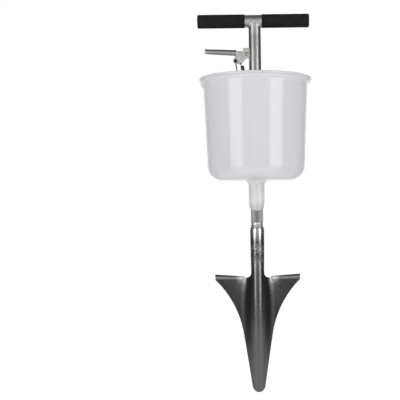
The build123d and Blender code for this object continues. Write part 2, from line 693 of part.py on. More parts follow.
def neck():
    """Spout with a slanted end, lower at the front, and its fillet under the floor."""
    low = NECK_END_Z - NECK_RADIUS * 2
    flare = NECK_RADIUS + NECK_FILLET * 2
    inside_floor = HOPPER_FLOOR_Z + HOPPER_FLOOR / 2
    outline = make_face(Polyline(
        (0, low), (neck_radius(low), low), (NECK_RADIUS, HOPPER_FLOOR_Z), (flare, HOPPER_FLOOR_Z),
        (flare, inside_floor), (0, inside_floor), close=True))
    corner = outline.vertices().sort_by_distance((NECK_RADIUS, HOPPER_FLOOR_Z))[0]
    body = revolve(Plane.XZ * fillet(corner, NECK_FILLET), Axis.Z)
    block = NECK_RADIUS * 8
    below = Rot(NECK_END_SLOPE, 0, 0) * Pos(0, 0, -block / 2) * Box(block, block, block)
    body -= Pos(0, 0, NECK_END_Z) * below
    end_edge = body.edges().sort_by(Axis.Z)[0]
    return fillet(end_edge, NECK_END_ROUND)


def hopper():
    body = bucket(0, HOPPER_FLOOR_Z, HOPPER_RIM_Z) + rim()
    under_rim = (wall_radius(RIM_UNDER_Z), 0, RIM_UNDER_Z)
    body = fillet(body.edges().filter_by(GeomType.CIRCLE).sort_by_distance(under_rim)[0], RIM_FILLET)
    body += lip_barrel(0, HOPPER_RIM_Z - RIM_HEIGHT / 2)
    body -= bucket(HOPPER_WALL, FLOOR_TOP_Z, HOPPER_RIM_Z + HOPPER_WALL)
    body -= lip_barrel(HOPPER_WALL, HOPPER_RIM_Z + HOPPER_WALL)
    body += neck()
    body -= Pos(0, 0, HOPPER_FLOOR_Z) * Cylinder(TUBE_RADIUS + NECK_FIT, 2 * HOPPER_FLOOR_Z)
    for height in screw_heights():
        body -= disc_y(SCREW_DIA / 2 + SCREW_FIT, 0, 2 * NECK_RADIUS, 0, height)
    return body


def neck_screws():
    screws = Part()
    for height in screw_heights():
        seat = neck_radius(height + SCREW_HEAD / 2)
        head = disc_y(SCREW_HEAD / 2, seat, seat + SCREW_HEAD_HEIGHT, 0, height)
        edge = head.edges().filter_by(GeomType.CIRCLE).sort_by(Axis.Y)[-1]
        head = fillet(edge, HEAD_DOME_SHARE * SCREW_HEAD_HEIGHT)
        screws += head + disc_y(SCREW_DIA / 2, TUBE_BORE - SCREW_TIP, seat + SCREW_HEAD_HEIGHT / 2, 0, height)
    return screws


# Socket tube and welds

def socket_weld():
    """Filled groove between the post's foot and the socket's top."""
    waist = TUBE_RADIUS - WELD_WAIST
    middle = (SOCKET_TOP_Z + POST_FOOT_Z) / 2
    inner = SOCKET_TOP_RADIUS - SOCKET_WALL
    return spun([
        (inner, SOCKET_TOP_Z), (SOCKET_TOP_RADIUS, SOCKET_TOP_Z), (waist, middle - WELD_BEAD),
        (waist + WELD_BEAD, middle + WELD_BEAD), (TUBE_RADIUS - WELD_BEAD / 2, POST_FOOT_Z),
        (inner, POST_FOOT_Z)])


def socket_side(inset):
    """Socket tube's outside with its rounded shoulder, smaller by the inset."""
    top = (SOCKET_TOP_RADIUS - inset, SOCKET_TOP_Z)
    shoulder = (SOCKET_RADIUS - inset, SOCKET_TOP_Z - SOCKET_SHOULDER)
    foot = (SOCKET_FOOT_RADIUS - inset, SOCKET_FOOT_Z)
    curve = TangentArc(shoulder, top, tangent=(0, 1))
    rest = Polyline(top, (0, SOCKET_TOP_Z), (0, SOCKET_FOOT_Z), foot, shoulder)
    return revolve(Plane.XZ * make_face([curve, rest]), Axis.Z)


def socket_tube():
    return socket_side(0) - socket_side(SOCKET_WALL)


def blade_weld():
    """Low bead in the seam between the socket tube and the blade's own neck."""
    inner = SOCKET_FOOT_RADIUS - SOCKET_WALL
    middle = (SOCKET_FOOT_Z + BLADE_NECK_TOP_Z) / 2
    return spun([
        (inner, BLADE_NECK_TOP_Z), (SOCKET_FOOT_RADIUS, BLADE_NECK_TOP_Z),
        (SOCKET_FOOT_RADIUS + WELD_BEAD / 2, middle), (SOCKET_FOOT_RADIUS, SOCKET_FOOT_Z),
        (inner, SOCKET_FOOT_Z)])


# Spade head

def blade_section(height, ridge_radius, ridge_y, frog_half):
    """Cross-section of the pressed sheet: a round ridge, straight flanks and flat wings, 16 edges round."""
    centre_y = ridge_y + ridge_radius
    drop = centre_y - WING_PLANE_Y
    flank = asin(ridge_radius / hypot(frog_half, drop)) - atan2(drop, frog_half)
    out = (sin(flank), -cos(flank))
    root_y = WING_PLANE_Y - WING_ROOT_FILLET
    root_x = (ridge_radius + WING_ROOT_FILLET + (root_y - centre_y) * cos(flank)) / sin(flank)
    bisector = hypot(-out[0], 1 - out[1])
    reach = WING_HALF + TREAD_BEND

    def side_points(behind):
        """Points of the right half from the wing's end to the ridge, moved back through the sheet."""
        ridge = ridge_radius - behind
        root = WING_ROOT_FILLET + behind
        return [
            (reach, WING_PLANE_Y + behind),
            (root_x, WING_PLANE_Y + behind),
            (root_x - root * out[0] / bisector, root_y + root * (1 - out[1]) / bisector),
            (root_x - root * out[0], root_y - root * out[1]),
            (ridge * out[0], centre_y + ridge * out[1]),
            (0, centre_y - ridge)]

    def mirrored(point):
        return (-point[0], point[1])

    def face_edges(behind):
        wing, toe, bend, knee, brow, crest = side_points(behind)
        return [
            Line(wing, toe), ThreePointArc(toe, bend, knee), Line(knee, brow),
            ThreePointArc(brow, crest, mirrored(brow)),
            Line(mirrored(brow), mirrored(knee)),
            ThreePointArc(mirrored(knee), mirrored(bend), mirrored(toe)),
            Line(mirrored(toe), mirrored(wing))]

    front = face_edges(0)
    back = face_edges(BLADE_SHEET)
    right_end = Line(front[0] @ 0, back[0] @ 0)
    left_end = Line(front[-1] @ 1, back[-1] @ 1)
    return Pos(0, 0, height) * make_face(front + back + [right_end, left_end])


def blade_sheet():
    """Pressed sheet before it is trimmed: the ridge is as round as the neck above and flatter at the tip."""
    neck_front = -BLADE_NECK_FOOT_RADIUS
    sections = []
    for share, flattening, frog_half in BLADE_SECTIONS:
        ridge_radius = BLADE_NECK_FOOT_RADIUS + flattening * (TIP_RIDGE_RADIUS - BLADE_NECK_FOOT_RADIUS)
        ridge_y = neck_front + flattening * (TIP_RIDGE_Y - neck_front)
        sections.append(blade_section(share * BLADE_LENGTH, ridge_radius, ridge_y, frog_half))
    return loft(sections)


def blade_outline():
    """Front view of the blade: round tip, straight sides, sweeping wings and frog shoulders."""
    tip = BLADE_TIP_RADIUS
    waist = Vector(BLADE_WAIST_HALF, BLADE_WAIST_Z)
    to_waist = waist - Vector(0, tip)
    lean = atan2(to_waist.Y, to_waist.X) - asin(sqrt(1 - (tip / to_waist.length) ** 2))
    touch = Vector(tip * cos(lean), tip + tip * sin(lean))
    halfway = lean / 2 - pi / 4
    root_z = TREAD_FOOT_Z + TREAD_INNER_BEND + BLADE_SHEET
    edge = (WING_HALF, TREAD_TOP_Z - WING_EDGE_DROP)
    shoulder = (BLADE_NECK_FOOT_RADIUS + FROG_SHOULDER_LIP, BLADE_LENGTH)
    half = [
        ThreePointArc((0, 0), (tip * cos(halfway), tip + tip * sin(halfway)), touch),
        Line(touch, waist),
        TangentArc(waist, edge, tangent=waist - touch),
        Polyline(edge, (WING_HALF, TREAD_FOOT_Z), (TREAD_INNER, TREAD_FOOT_Z), (FROG_SHOULDER_HALF, root_z)),
        TangentArc((FROG_SHOULDER_HALF, root_z), shoulder, tangent=(-1, 0)),
        Polyline(shoulder, (0, BLADE_LENGTH), (0, 0))]
    right = make_face(half)
    return right + mirror(right, Plane.YZ)


def tread(side):
    """Top of a wing, folded forward to make a step for the boot; the fold runs out towards the frog."""

    def fold(along, bend, depth):
        """Section of the fold at a distance from the blade's middle; bend is its inner radius."""
        bend_y = WING_PLANE_Y - bend
        front = WING_PLANE_Y - depth
        outer = bend + BLADE_SHEET
        under_z = TREAD_FOOT_Z + bend
        top_z = TREAD_FOOT_Z + outer

        def quarter(radius):
            turn = radius * sin(pi / 4)
            middle = (bend_y + turn, TREAD_FOOT_Z + turn)
            return ThreePointArc((bend_y + radius, TREAD_FOOT_Z), middle, (bend_y, TREAD_FOOT_Z + radius))

        section = make_face([
            Line((bend_y + bend, TREAD_FOOT_Z), (bend_y + outer, TREAD_FOOT_Z)),
            quarter(outer),
            Polyline((bend_y, top_z), (front, top_z), (front, under_z), (bend_y, under_z)),
            quarter(bend)])
        return Pos(along, 0, 0) * (Plane.YZ * section)

    run_out = fold(TREAD_INNER, TREAD_INNER_BEND, TREAD_INNER_DEPTH)
    step = loft([run_out, fold(WING_HALF, TREAD_BEND, TREAD_DEPTH)], ruled=True)
    step = fillet(step.edges().filter_by(Axis.Z), TREAD_CORNER)
    return step if side > 0 else mirror(step, Plane.YZ)


def blade_neck():
    """Tapered tube under the seam, cut away at the back where the sheet opens into the frog."""
    top = SOCKET_FOOT_RADIUS
    foot = BLADE_NECK_FOOT_RADIUS
    tube = spun([
        (foot - BLADE_SHEET, BLADE_LENGTH), (foot, BLADE_LENGTH), (top, BLADE_NECK_TOP_Z),
        (top - BLADE_SHEET, BLADE_NECK_TOP_Z)])
    mouth_top = BLADE_LENGTH + 2 * BLADE_MOUTH_RISE
    mouth = make_face(Polyline((0, BLADE_LENGTH), (2 * top, mouth_top), (2 * top, BLADE_LENGTH), close=True))
    return tube - extrude(Plane.YZ * mouth, 2 * top, both=True)


def spade_head():
    blank = extrude(Plane.XZ * blade_outline(), WING_HALF, both=True)
    return (blade_sheet() & blank) + blade_neck() + tread(1) + tread(-1)


PIECES = {
    "crossbar_tube": crossbar,
    "left_grip": lambda: grip(-1),
    "right_grip": lambda: grip(1),
    "tee_weld": tee_weld,
    "handle_post": handle_post,
    "lever_bracket": lever_bracket,
    "bracket_weld": bracket_weld,
    "lever_pivot_bolt": lever_pivot_bolt,
    "lever_pivot_washer": lever_pivot_washer,
    "lever_pivot_nut": lever_pivot_nut,
    "bell_crank": bell_crank,
    "hand_lever": hand_lever,
    "lever_weld": lever_weld,
    "pull_rod_bolt": pull_rod_bolt,
    "pull_rod_nut": pull_rod_nut,
    "pull_rod": pull_rod,
    "pull_rod_clip": pull_rod_clip,
    "gate_sleeve": gate_sleeve,
    "floor_seal": floor_seal,
    "return_spring": return_spring,
    "spring_anchor": spring_anchor,
    "anchor_weld": anchor_weld,
    "hopper": hopper,
    "neck_screws": neck_screws,
    "socket_weld": socket_weld,
    "socket_tube": socket_tube,
    "blade_weld": blade_weld,
    "spade_head": spade_head,
}

os.makedirs("parts", exist_ok=True)
for name, make in PIECES.items():
    export_step(make(), f"parts/{name}.step")
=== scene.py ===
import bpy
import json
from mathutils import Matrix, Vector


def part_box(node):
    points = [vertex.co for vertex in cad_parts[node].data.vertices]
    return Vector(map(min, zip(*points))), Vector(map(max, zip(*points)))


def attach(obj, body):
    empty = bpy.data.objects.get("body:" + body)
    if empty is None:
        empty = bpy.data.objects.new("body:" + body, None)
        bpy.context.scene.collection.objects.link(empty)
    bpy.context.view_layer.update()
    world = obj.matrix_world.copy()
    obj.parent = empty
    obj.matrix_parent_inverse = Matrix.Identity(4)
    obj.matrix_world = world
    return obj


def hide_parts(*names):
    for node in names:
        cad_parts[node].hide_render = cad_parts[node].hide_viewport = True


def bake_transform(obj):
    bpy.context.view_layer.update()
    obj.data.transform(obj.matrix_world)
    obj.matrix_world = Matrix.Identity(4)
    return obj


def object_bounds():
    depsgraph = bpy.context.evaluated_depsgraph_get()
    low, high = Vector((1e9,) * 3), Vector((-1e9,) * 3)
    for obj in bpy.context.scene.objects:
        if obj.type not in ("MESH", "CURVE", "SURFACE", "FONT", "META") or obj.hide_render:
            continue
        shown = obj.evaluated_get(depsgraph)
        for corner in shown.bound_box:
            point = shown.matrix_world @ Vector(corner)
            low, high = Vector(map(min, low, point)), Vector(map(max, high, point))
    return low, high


bl_info = {
    "name": "Hand fertilizer applicator",
    "version": (1, 0, 0),
    "blender": (4, 5, 0),
    "location": "View3D > Sidebar > Applicator",
    "description": "Models the soft, moulded and welded pieces of the applicator, its finishes and a studio",
    "category": "Object",
}

import json
import random
from math import asin, atan2, cos, hypot, pi, radians, sin, sqrt, tan

import bmesh
import bpy
from bpy.props import FloatProperty, FloatVectorProperty, IntProperty, PointerProperty
from mathutils import Euler, Matrix, Vector
from mathutils.geometry import intersect_point_line

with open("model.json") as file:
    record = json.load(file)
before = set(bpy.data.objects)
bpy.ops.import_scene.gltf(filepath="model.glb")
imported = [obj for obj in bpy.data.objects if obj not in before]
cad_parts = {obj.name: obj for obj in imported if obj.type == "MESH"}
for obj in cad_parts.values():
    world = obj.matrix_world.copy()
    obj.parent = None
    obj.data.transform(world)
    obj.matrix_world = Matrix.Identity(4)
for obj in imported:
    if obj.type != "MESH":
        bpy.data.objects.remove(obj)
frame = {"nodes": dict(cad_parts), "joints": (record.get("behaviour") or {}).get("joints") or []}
CAD_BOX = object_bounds()

NODES = frame["nodes"]
JOINTS = {joint["name"]: joint for joint in frame["joints"]}
PIVOT = Vector(JOINTS["lever_squeeze"]["pos_m"])
POST_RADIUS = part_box("handle_post")[1].x
BAR_AXIS_Z = sum(corner.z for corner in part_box("crossbar_tube")) / 2
# Points nearer than this become one, or count as the same
MERGE = 1e-5
NEAR = 1e-6
# Edges sharper than this keep their crease in the shading, or are broken
CREASE = radians(32)
SHARP = radians(50)


# Kinds of setting

def length(name, default, description):
    return FloatProperty(name=name, description=description, default=default, unit="LENGTH", precision=4)


def angle(name, default, description):
    return FloatProperty(name=name, description=description, default=default, subtype="ANGLE")


def share(name, default, description):
    return FloatProperty(name=name, description=description, default=default, subtype="FACTOR",
                         min=0, max=1)


def number(name, default, description):
    return FloatProperty(name=name, description=description, default=default, precision=3)


def count(name, default, description):
    return IntProperty(name=name, description=description, default=default, min=1)


def paint(name, default, description):
    return FloatVectorProperty(name=name, description=description, default=default, subtype="COLOR",
                               size=3, min=0, max=1)


def place(name, default, description):
    return FloatVectorProperty(name=name, description=description, default=default,
                               subtype="TRANSLATION", size=3, unit="LENGTH", precision=4)


class GripSettings(bpy.types.PropertyGroup):
    """Foam sleeves on the crossbar."""
    wall: length("Wall", 0.00195, "Foam between the bar and the hand")
    end: length("End", 0.0025, "Foam over the end of the bar")
    outer_round: length("Outer round", 0.0032, "Rounding of the closed end")
    inner_round: length("Inner round", 0.0014, "Rounding of the open end")
    dents: length("Dents", 0.00035, "Depth of the uneven skin")
    dent_size: length("Dent size", 0.009, "Width of a dent in the skin")
    rings: count("Rings", 64, "Edge rings along the sleeve")
    sides: count("Sides", 96, "Faces round the sleeve")


class HopperSettings(bpy.types.PropertyGroup):
    """Moulded bucket with its neck, rim and pouring lip."""
    floor_z: length("Floor height", 0.558, "Underside of the floor")
    rim_z: length("Rim height", 0.826, "Top of the rim")
    wall: length("Wall", 0.0026, "Thickness of the wall")
    floor: length("Floor", 0.003, "Thickness of the floor")
    foot_radius: length("Foot radius", 0.1266, "Outer radius of the wall, run down to the floor")
    draft: length("Draft", 0.0113, "How much wider the wall is at the rim than at the floor")
    corner: length("Corner", 0.038, "Outer rounding between wall and floor")
    rim_reach: length("Rim reach", 0.0103, "How far the rim stands out from the wall")
    rim_height: length("Rim depth", 0.0135, "Depth of the rim")
    rim_undercut: length("Rim undercut", 0.0045, "How far the rim's foot stands in from its edge")
    rim_slope: length("Rim slope", 0.0081, "Height of the rim's sloped underside")
    rim_round: length("Rim round", 0.0034, "Rounding of the rim's edge")
    rim_foot_round: length("Rim foot round", 0.0024, "Rounding of the rim's lower edge")
    rim_fillet: length("Rim fillet", 0.004, "Rounding between the rim's underside and the wall")
    neck_radius: length("Neck radius", 0.021, "Outer radius of the neck at the floor")
    neck_taper: length("Neck taper", 0.0004, "How much narrower the neck is where its tip begins")
    tip_z: length("Neck's tip", 0.500, "Height at which the neck begins to narrow towards its end")
    tip_taper: share("Tip taper", 0.1375, "How much the tip narrows per length")
    neck_end_z: length("Neck end", 0.487, "Height of the neck's end on the axis")
    neck_slope: angle("Neck slope", radians(28), "Slant of the neck's end, lower at the front")
    neck_end_round: length("Neck end round", 0.0008, "Rounding of the neck's end")
    neck_fillet: length("Neck fillet", 0.014, "Rounding between neck and floor")
    neck_fit: length("Neck fit", 0.00015, "Gap between neck and post")
    lip_drop: length("Lip drop", 0.028, "How far below the rim the pouring lip starts")
    lip_tilt: angle("Lip tilt", radians(29), "Slant of the pouring lip from upright")
    lip_radius: length("Lip radius", 0.020, "Outer radius of the pouring lip's channel")
    sides: count("Sides", 192, "Faces round the bucket")


class SpringSettings(bpy.types.PropertyGroup):
    """Return spring, hooked into the crank and the tab on the post."""
    top: place("Top", (-0.03843, 0, 0.86926), "Middle of the wire in the upper hook")
    foot: place("Foot", (-0.02212, 0, 0.81541), "Middle of the wire in the lower hook")
    wire: length("Wire", 0.0020, "Diameter of the wire")
    radius: length("Radius", 0.004, "Radius of the coil to the middle of the wire")
    turns: count("Turns", 11, "Turns of the coil")
    pitch: length("Pitch", 0.0023, "Rise of the coil in one turn")
    bend: length("Bend", 0.0024, "Radius where the wire leaves the coil")
    stem: length("Stem", 0.003, "Straight wire between the coil and the upper hook")
    tail: length("Tail", 0.0015, "Straight wire at each hook's end")
    steps: count("Steps", 20, "Faces along one turn")


class LeverSettings(bpy.types.PropertyGroup):
    """Tube that the fingers squeeze, and the web of its crank."""
    root: place("Root", (-0.0493, 0, 0.8946), "Middle of the mouth at the crank")
    tip: place("Tip", (-0.1324, 0, 0.899), "Middle of the open end")
    root_height: length("Root height", 0.0153, "Height of the flattened mouth")
    root_width: length("Root width", 0.0096, "Width of the flattened mouth")
    diameter: length("Diameter", 0.0127, "Outer diameter at the open end")
    wall: length("Wall", 0.0014, "Thickness of the tube")
    edge: length("Edge", 0.0004, "Softening of the cut ends")
    sides: count("Sides", 48, "Faces round the tube")
    web_foot: place("Web foot", (-0.0119, 0, -0.0248), "Web's corner at the spring's eye, from the pivot")
    web_heel: place("Web heel", (0.0004, 0, -0.0125), "Web's corner below the bracket, from the pivot")
    web_hub: place("Web hub", (0.003, 0, -0.005), "Web's corner in the hub, from the pivot")
    web_root: place("Web root", (-0.015, 0, -0.005), "Web's corner in the plate, from the pivot")
    web_eye: place("Web eye", (-0.0115, 0, -0.0205), "Web's corner beside the spring's eye, from the pivot")


class WeldSettings(bpy.types.PropertyGroup):
    """Beads of the welded joints."""
    tee_bead: length("Tee bead", 0.0020, "Radius of the bead between post and crossbar")
    bracket_bead: length("Bracket bead", 0.0019, "Radius of the beads on the lever bracket")
    lever_bead: length("Lever bead", 0.0012, "Radius of the beads on the hand lever")
    anchor_bead: length("Anchor bead", 0.0014, "Radius of the beads on the spring's tab")
    socket_bead: length("Socket bead", 0.0021, "Radius of the bead in the groove above the socket")
    spacing: share("Spacing", 0.62, "Distance between ripples as a share of the bead's radius")
    unevenness: share("Unevenness", 0.16, "How much the ripples differ in size")
    grain: length("Grain", 0.00036, "Finest detail of a bead")


class SpadeSettings(bpy.types.PropertyGroup):
    """Pressed form of the blade; distances aside are from the blade's middle."""
    neck_half: length("Neck half", 0.0172, "Half the neck's width between the shoulders")
    shoulder_z: length("Shoulder height", 0.3008, "Height of the sheet's edge between frog and tread")
    shoulder_top: length("Shoulder top", 0.3214, "Height at which the shoulders' trimming ends")
    shoulder_round: length("Shoulder round", 0.0133, "Radius between the neck's side and that edge")
    tread_root: length("Tread root", 0.040, "Distance aside of the solid's tread")
    tread_inner: length("Tread end", 0.036, "Distance aside of the tread's inner end")
    sweep: number("Sweep", 0.24, "Steepest slope of the wings backwards")
    sweep_start: length("Sweep start", 0.026, "Distance aside at which the wings begin to sweep back")
    sweep_crest: length("Sweep crest", 0.040, "Distance aside of the steepest slope")
    sweep_end: length("Sweep end", 0.100, "Distance aside at which the wings are level again")
    sweep_foot: length("Sweep foot", 0.200, "Height up to which the sweep is slight")
    sweep_top: length("Sweep top", 0.300, "Height of the full sweep")
    sweep_least: share("Least sweep", 0.1, "Sweep at its foot as a share of the full one")
    bend: number("Bend", 0.24, "Steepest slope of the wings' tops forwards")
    bend_foot: length("Bend foot", 0.280, "Height at which the tops begin to bend forwards")
    bend_crest: length("Bend crest", 0.299, "Height of the steepest slope")
    bend_top: length("Bend top", 0.306, "Height at which the bend ends")
    bend_inner: length("Bend inner", 0.034, "Distance aside at which the bend begins")
    bend_outer: length("Bend outer", 0.044, "Distance aside of the full bend")


class FinishSettings(bpy.types.PropertyGroup):
    """Colours of the materials."""
    tube_steel: paint("Tube steel", (0.45, 0.44, 0.425), "Satin stainless tube")
    tube_shade: paint("Tube shade", (0.38, 0.37, 0.355), "Darker drawing lines of the tube")
    lever_steel: paint("Lever steel", (0.62, 0.605, 0.585), "Worn tube of the hand lever")
    lever_shade: paint("Lever shade", (0.50, 0.487, 0.47), "Darker drawing lines of the lever")
    bar_steel: paint("Bar steel", (0.71, 0.70, 0.69), "Brushed crossbar")
    bar_shade: paint("Bar shade", (0.60, 0.59, 0.58), "Darker brushing of the crossbar")
    # Painted light on the sides of the post under the hopper, and painted shade on its front and back
    post_foot: paint("Post foot", (0.38, 0.38, 0.38), "Rubbed sides of the post under the hopper")
    post_soil: paint("Post soil", (0.165, 0.165, 0.165), "Soiled front and back of the post under the hopper")
    post_head: paint("Post head", (0.76, 0.74, 0.71), "Ground stretch of the post under the crossbar")
    plate_steel: paint("Plate steel", (0.76, 0.755, 0.74), "Pickled plates of the lever")
    socket_steel: paint("Socket steel", (0.60, 0.595, 0.59), "Top of the polished socket")
    socket_shade: paint("Socket shade", (0.15, 0.15, 0.15), "Foot of the polished socket")
    socket_pits: paint("Socket pits", (0.10, 0.10, 0.10), "Pits of the rough seam")
    blade_steel: paint("Blade steel", (0.15, 0.15, 0.153), "Dark polished blade")
    blade_shade: paint("Blade shade", (0.105, 0.105, 0.108), "Darker stretches of the blade")
    blade_wing: paint("Blade wing", (0.098, 0.097, 0.098), "Lighter grains of the wings")
    blade_grime: paint("Blade grime", (0.043, 0.043, 0.044), "Grimy grains of the wings")
    blade_neck: paint("Blade neck", (0.21, 0.208, 0.208), "Brighter neck of the blade")
    # Painted highlight along the ridge towards the tip, and painted shade on either side of it
    blade_ridge: paint("Blade ridge", (0.118, 0.118, 0.118), "Rubbed ridge towards the tip")
    # Painted shade beside the ridge and at the foot of the wings' roots
    blade_soil: paint("Blade soil", (0.036, 0.036, 0.037), "Soil beside the ridge")
    # Painted highlight in the folds of treads and wings
    blade_fold: paint("Blade fold", (0.40, 0.40, 0.40), "Shine in the folds of treads and wings")
    # Painted highlight at the roots of the treads, brighter than the folds
    blade_glint: paint("Blade glint", (0.74, 0.735, 0.73), "Rubbed fold at the roots of the treads")
    blade_wear: paint("Blade wear", (0.085, 0.085, 0.086), "Soiled steel towards the tip")
    weld: paint("Weld", (0.82, 0.81, 0.79), "Bright weld metal")
    weld_tint: paint("Weld tint", (0.40, 0.385, 0.37), "Heat tint in the weld's hollows")
    weld_pits: paint("Weld pits", (0.06, 0.06, 0.06), "Pits of the rough bead above the socket")
    zinc: paint("Zinc", (0.60, 0.60, 0.59), "Plated fasteners")
    black_oxide: paint("Black oxide", (0.085, 0.085, 0.087), "Blackened fasteners")
    rod_black: paint("Rod black", (0.014, 0.014, 0.015), "Blackened pull rod")
    spring_steel: paint("Spring steel", (0.070, 0.070, 0.073), "Oiled spring wire")
    foam: paint("Foam", (0.009, 0.009, 0.009), "Black foam of the grips")
    foam_dust: paint("Foam dust", (0.016, 0.016, 0.016), "Dusty high spots of the foam")
    seal_rubber: paint("Seal rubber", (0.022, 0.022, 0.023), "Ring under the gate")
    gate: paint("Gate", (0.70, 0.70, 0.68), "Sliding gate")
    hopper: paint("Hopper", (0.632, 0.632, 0.662), "Milky plastic")
    hopper_cloud: paint("Hopper cloud", (0.605, 0.605, 0.634), "Cloudier stretches of the plastic")
    hopper_glow: paint("Hopper glow", (0.72, 0.72, 0.745), "Light that comes through above the neck")
    # Painted shade on the face of the rim
    hopper_rim: paint("Hopper rim", (0.575, 0.575, 0.603), "Thick plastic of the rim")
    hopper_neck: paint("Hopper neck", (0.64, 0.635, 0.617), "Thicker, creamier plastic of the neck")
    # Painted shade on the tapering end of the neck
    hopper_tip: paint("Hopper tip", (0.535, 0.53, 0.515), "Thin end of the neck")
    backdrop: paint("Backdrop", (1.0, 1.0, 1.0), "Background and floor as the camera sees them")


class StudioSettings(bpy.types.PropertyGroup):
    """Camera, lamps and floor."""
    distance: length("Distance", 2.2, "Camera to the post's axis")
    height: length("Height", 0.498, "Camera above the floor")
    lens: number("Lens", 75.0, "Focal length in millimetres")
    roll: angle("Roll", radians(0.72), "Tilt of the camera to the right")
    shift_x: number("Shift across", -0.142, "Places the tool right of the middle")
    shift_y: number("Shift up", 0.0075, "Places the horizon just under the middle")
    softbox_distance: length("Softbox distance", 1.5, "Softboxes to the post's axis")
    softbox_width: length("Softbox width", 0.80, "Width of a softbox")
    softbox_height: length("Softbox height", 1.16, "Height of a softbox")
    softbox_z: length("Softbox level", 0.62, "Middle of a softbox above the floor")
    softbox_left: angle("Left softbox", radians(-43.5), "Direction of the left softbox from the camera's")
    softbox_right: angle("Right softbox", radians(45), "Direction of the right softbox from the camera's")
    softbox_power: number("Softbox power", 8.7, "Watts of a softbox")
    top_power: number("Top power", 2.0, "Watts of the lamp overhead, which metal doesn't mirror")
    back_power: number("Back power", 6.0, "Watts of the lamp behind, which metal doesn't mirror")
    top_z: length("Top level", 2.1, "Lamp overhead above the floor")
    top_size: length("Top size", 1.2, "Side of the lamp overhead")
    top_distance: length("Top distance", 0.35, "Lamp overhead in front of the post's axis")
    top_tilt: angle("Top tilt", radians(10), "Tilt of the lamp overhead")
    back_z: length("Back level", 0.9, "Middle of the lamp behind above the floor")
    fill: number("Fill", 0.63, "Level of the room's own light")
    floor_size: length("Floor size", 1.6, "Side of the floor")


class ApplicatorSettings(bpy.types.PropertyGroup):
    """All settings of the applicator."""
    grips: PointerProperty(type=GripSettings)
    hopper: PointerProperty(type=HopperSettings)
    spring: PointerProperty(type=SpringSettings)
    lever: PointerProperty(type=LeverSettings)
    welds: PointerProperty(type=WeldSettings)
    spade: PointerProperty(type=SpadeSettings)
    finishes: PointerProperty(type=FinishSettings)
    studio: PointerProperty(type=StudioSettings)


# Modelling helpers

def work_on(piece, mode="OBJECT"):
    """Makes a piece the only selected object, in object or edit mode; None only deselects."""
    if bpy.context.mode != "OBJECT":
        bpy.ops.object.mode_set(mode="OBJECT")
    bpy.ops.object.select_all(action="DESELECT")
    if piece is None:
        return
    piece.select_set(True)
    bpy.context.view_layer.objects.active = piece
    if mode != "OBJECT":
        bpy.ops.object.mode_set(mode=mode)


def linked(name, data):
    """New object of the given data, in the scene."""
    made = bpy.data.objects.new(name, data)
    bpy.context.collection.objects.link(made)
    return made


def added(name):
    """Names the primitive that was just added and puts its place into its mesh."""
    piece = bpy.context.object
    piece.name = name
    piece.data.name = name
    bpy.ops.object.transform_apply(location=True, rotation=True, scale=True)
    return piece


def select(kind, test):
    """Selects those vertices, edges or faces of the edited piece that pass the test, and no others."""
    bpy.ops.mesh.select_mode(type=kind)
    bpy.ops.mesh.select_all(action="DESELECT")
    data = bpy.context.object.data
    mesh = bmesh.from_edit_mesh(data)
    parts = {"VERT": mesh.verts, "EDGE": mesh.edges, "FACE": mesh.faces}[kind]
    for part in parts:
        if test(part):
            part.select_set(True)
    mesh.select_flush_mode()
    bmesh.update_edit_mesh(data)


def modify(piece, kind, **settings):
    """Adds a modifier and applies it."""
    work_on(piece)
    modifier = piece.modifiers.new(kind.title(), kind)
    for key, value in settings.items():
        setattr(modifier, key, value)
    bpy.ops.object.modifier_apply(modifier=modifier.name)


def combine(piece, operation, tool):
    """Adds a tool to a piece, cuts it off or keeps what both share, and removes the tool."""
    modify(piece, "BOOLEAN", operation=operation, object=tool, solver="EXACT")
    bpy.data.objects.remove(tool)


def break_edges(piece, width):
    """Softens the sharp edges of a piece."""
    modify(piece, "BEVEL", width=width, segments=2, limit_method="ANGLE", angle_limit=SHARP)


def close_up(piece):
    """Merges doubled points and turns the faces outwards."""
    work_on(piece, "EDIT")
    bpy.ops.mesh.select_all(action="SELECT")
    bpy.ops.mesh.remove_doubles(threshold=MERGE)
    bpy.ops.mesh.normals_make_consistent(inside=False)
    work_on(piece)


def smooth(piece, crease=CREASE):
    """Shades a piece smooth, apart from edges sharper than the crease."""
    work_on(piece)
    bpy.ops.object.shade_smooth_by_angle(angle=crease)


def turn_into_place(piece, matrix):
    """Moves a piece that was modelled at the origin to its place, in its mesh."""
    work_on(piece)
    piece.matrix_world = matrix
    bpy.ops.object.transform_apply(location=True, rotation=True, scale=True)


def dress(piece, body, finish, node):
    """Gives a finished piece its material and slot, the body that it rides on and the node it replaces."""
    piece.data.materials.clear()
    piece.data.materials.append(FINISHES[finish])
    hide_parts(node)
    if body:
        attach(piece, body)


def round_corner(corner, before, after, radius, segments):
    """Rounds one corner of the wire being edited to a radius."""
    turn = (corner - before).angle(after - corner)
    select("VERT", lambda vert: (vert.co - corner).length < NEAR)
    bpy.ops.mesh.bevel(offset=radius * tan(turn / 2), segments=segments, affect="VERTICES", profile=0.5)


def draw_wire(name, points, rounds=()):
    """Chain of edges, drawn by extruding one vertex from point to point.

    rounds holds (point's index, radius, segments) of each corner that is rounded."""
    work_on(None)
    bpy.ops.mesh.primitive_plane_add(size=MERGE, location=points[0])
    piece = added(name)
    work_on(piece, "EDIT")
    select("VERT", lambda vert: True)
    bpy.ops.mesh.merge(type="CENTER")
    for start, end in zip(points, points[1:]):
        bpy.ops.mesh.extrude_vertices_move(TRANSFORM_OT_translate={"value": end - start})
    for index, radius, segments in rounds:
        round_corner(points[index], points[index - 1], points[index + 1], radius, segments)
    return piece


def is_between(point, start, end):
    nearest, along = intersect_point_line(point, start, end)
    return (point - nearest).length < MERGE and -NEAR < along < 1 + NEAR


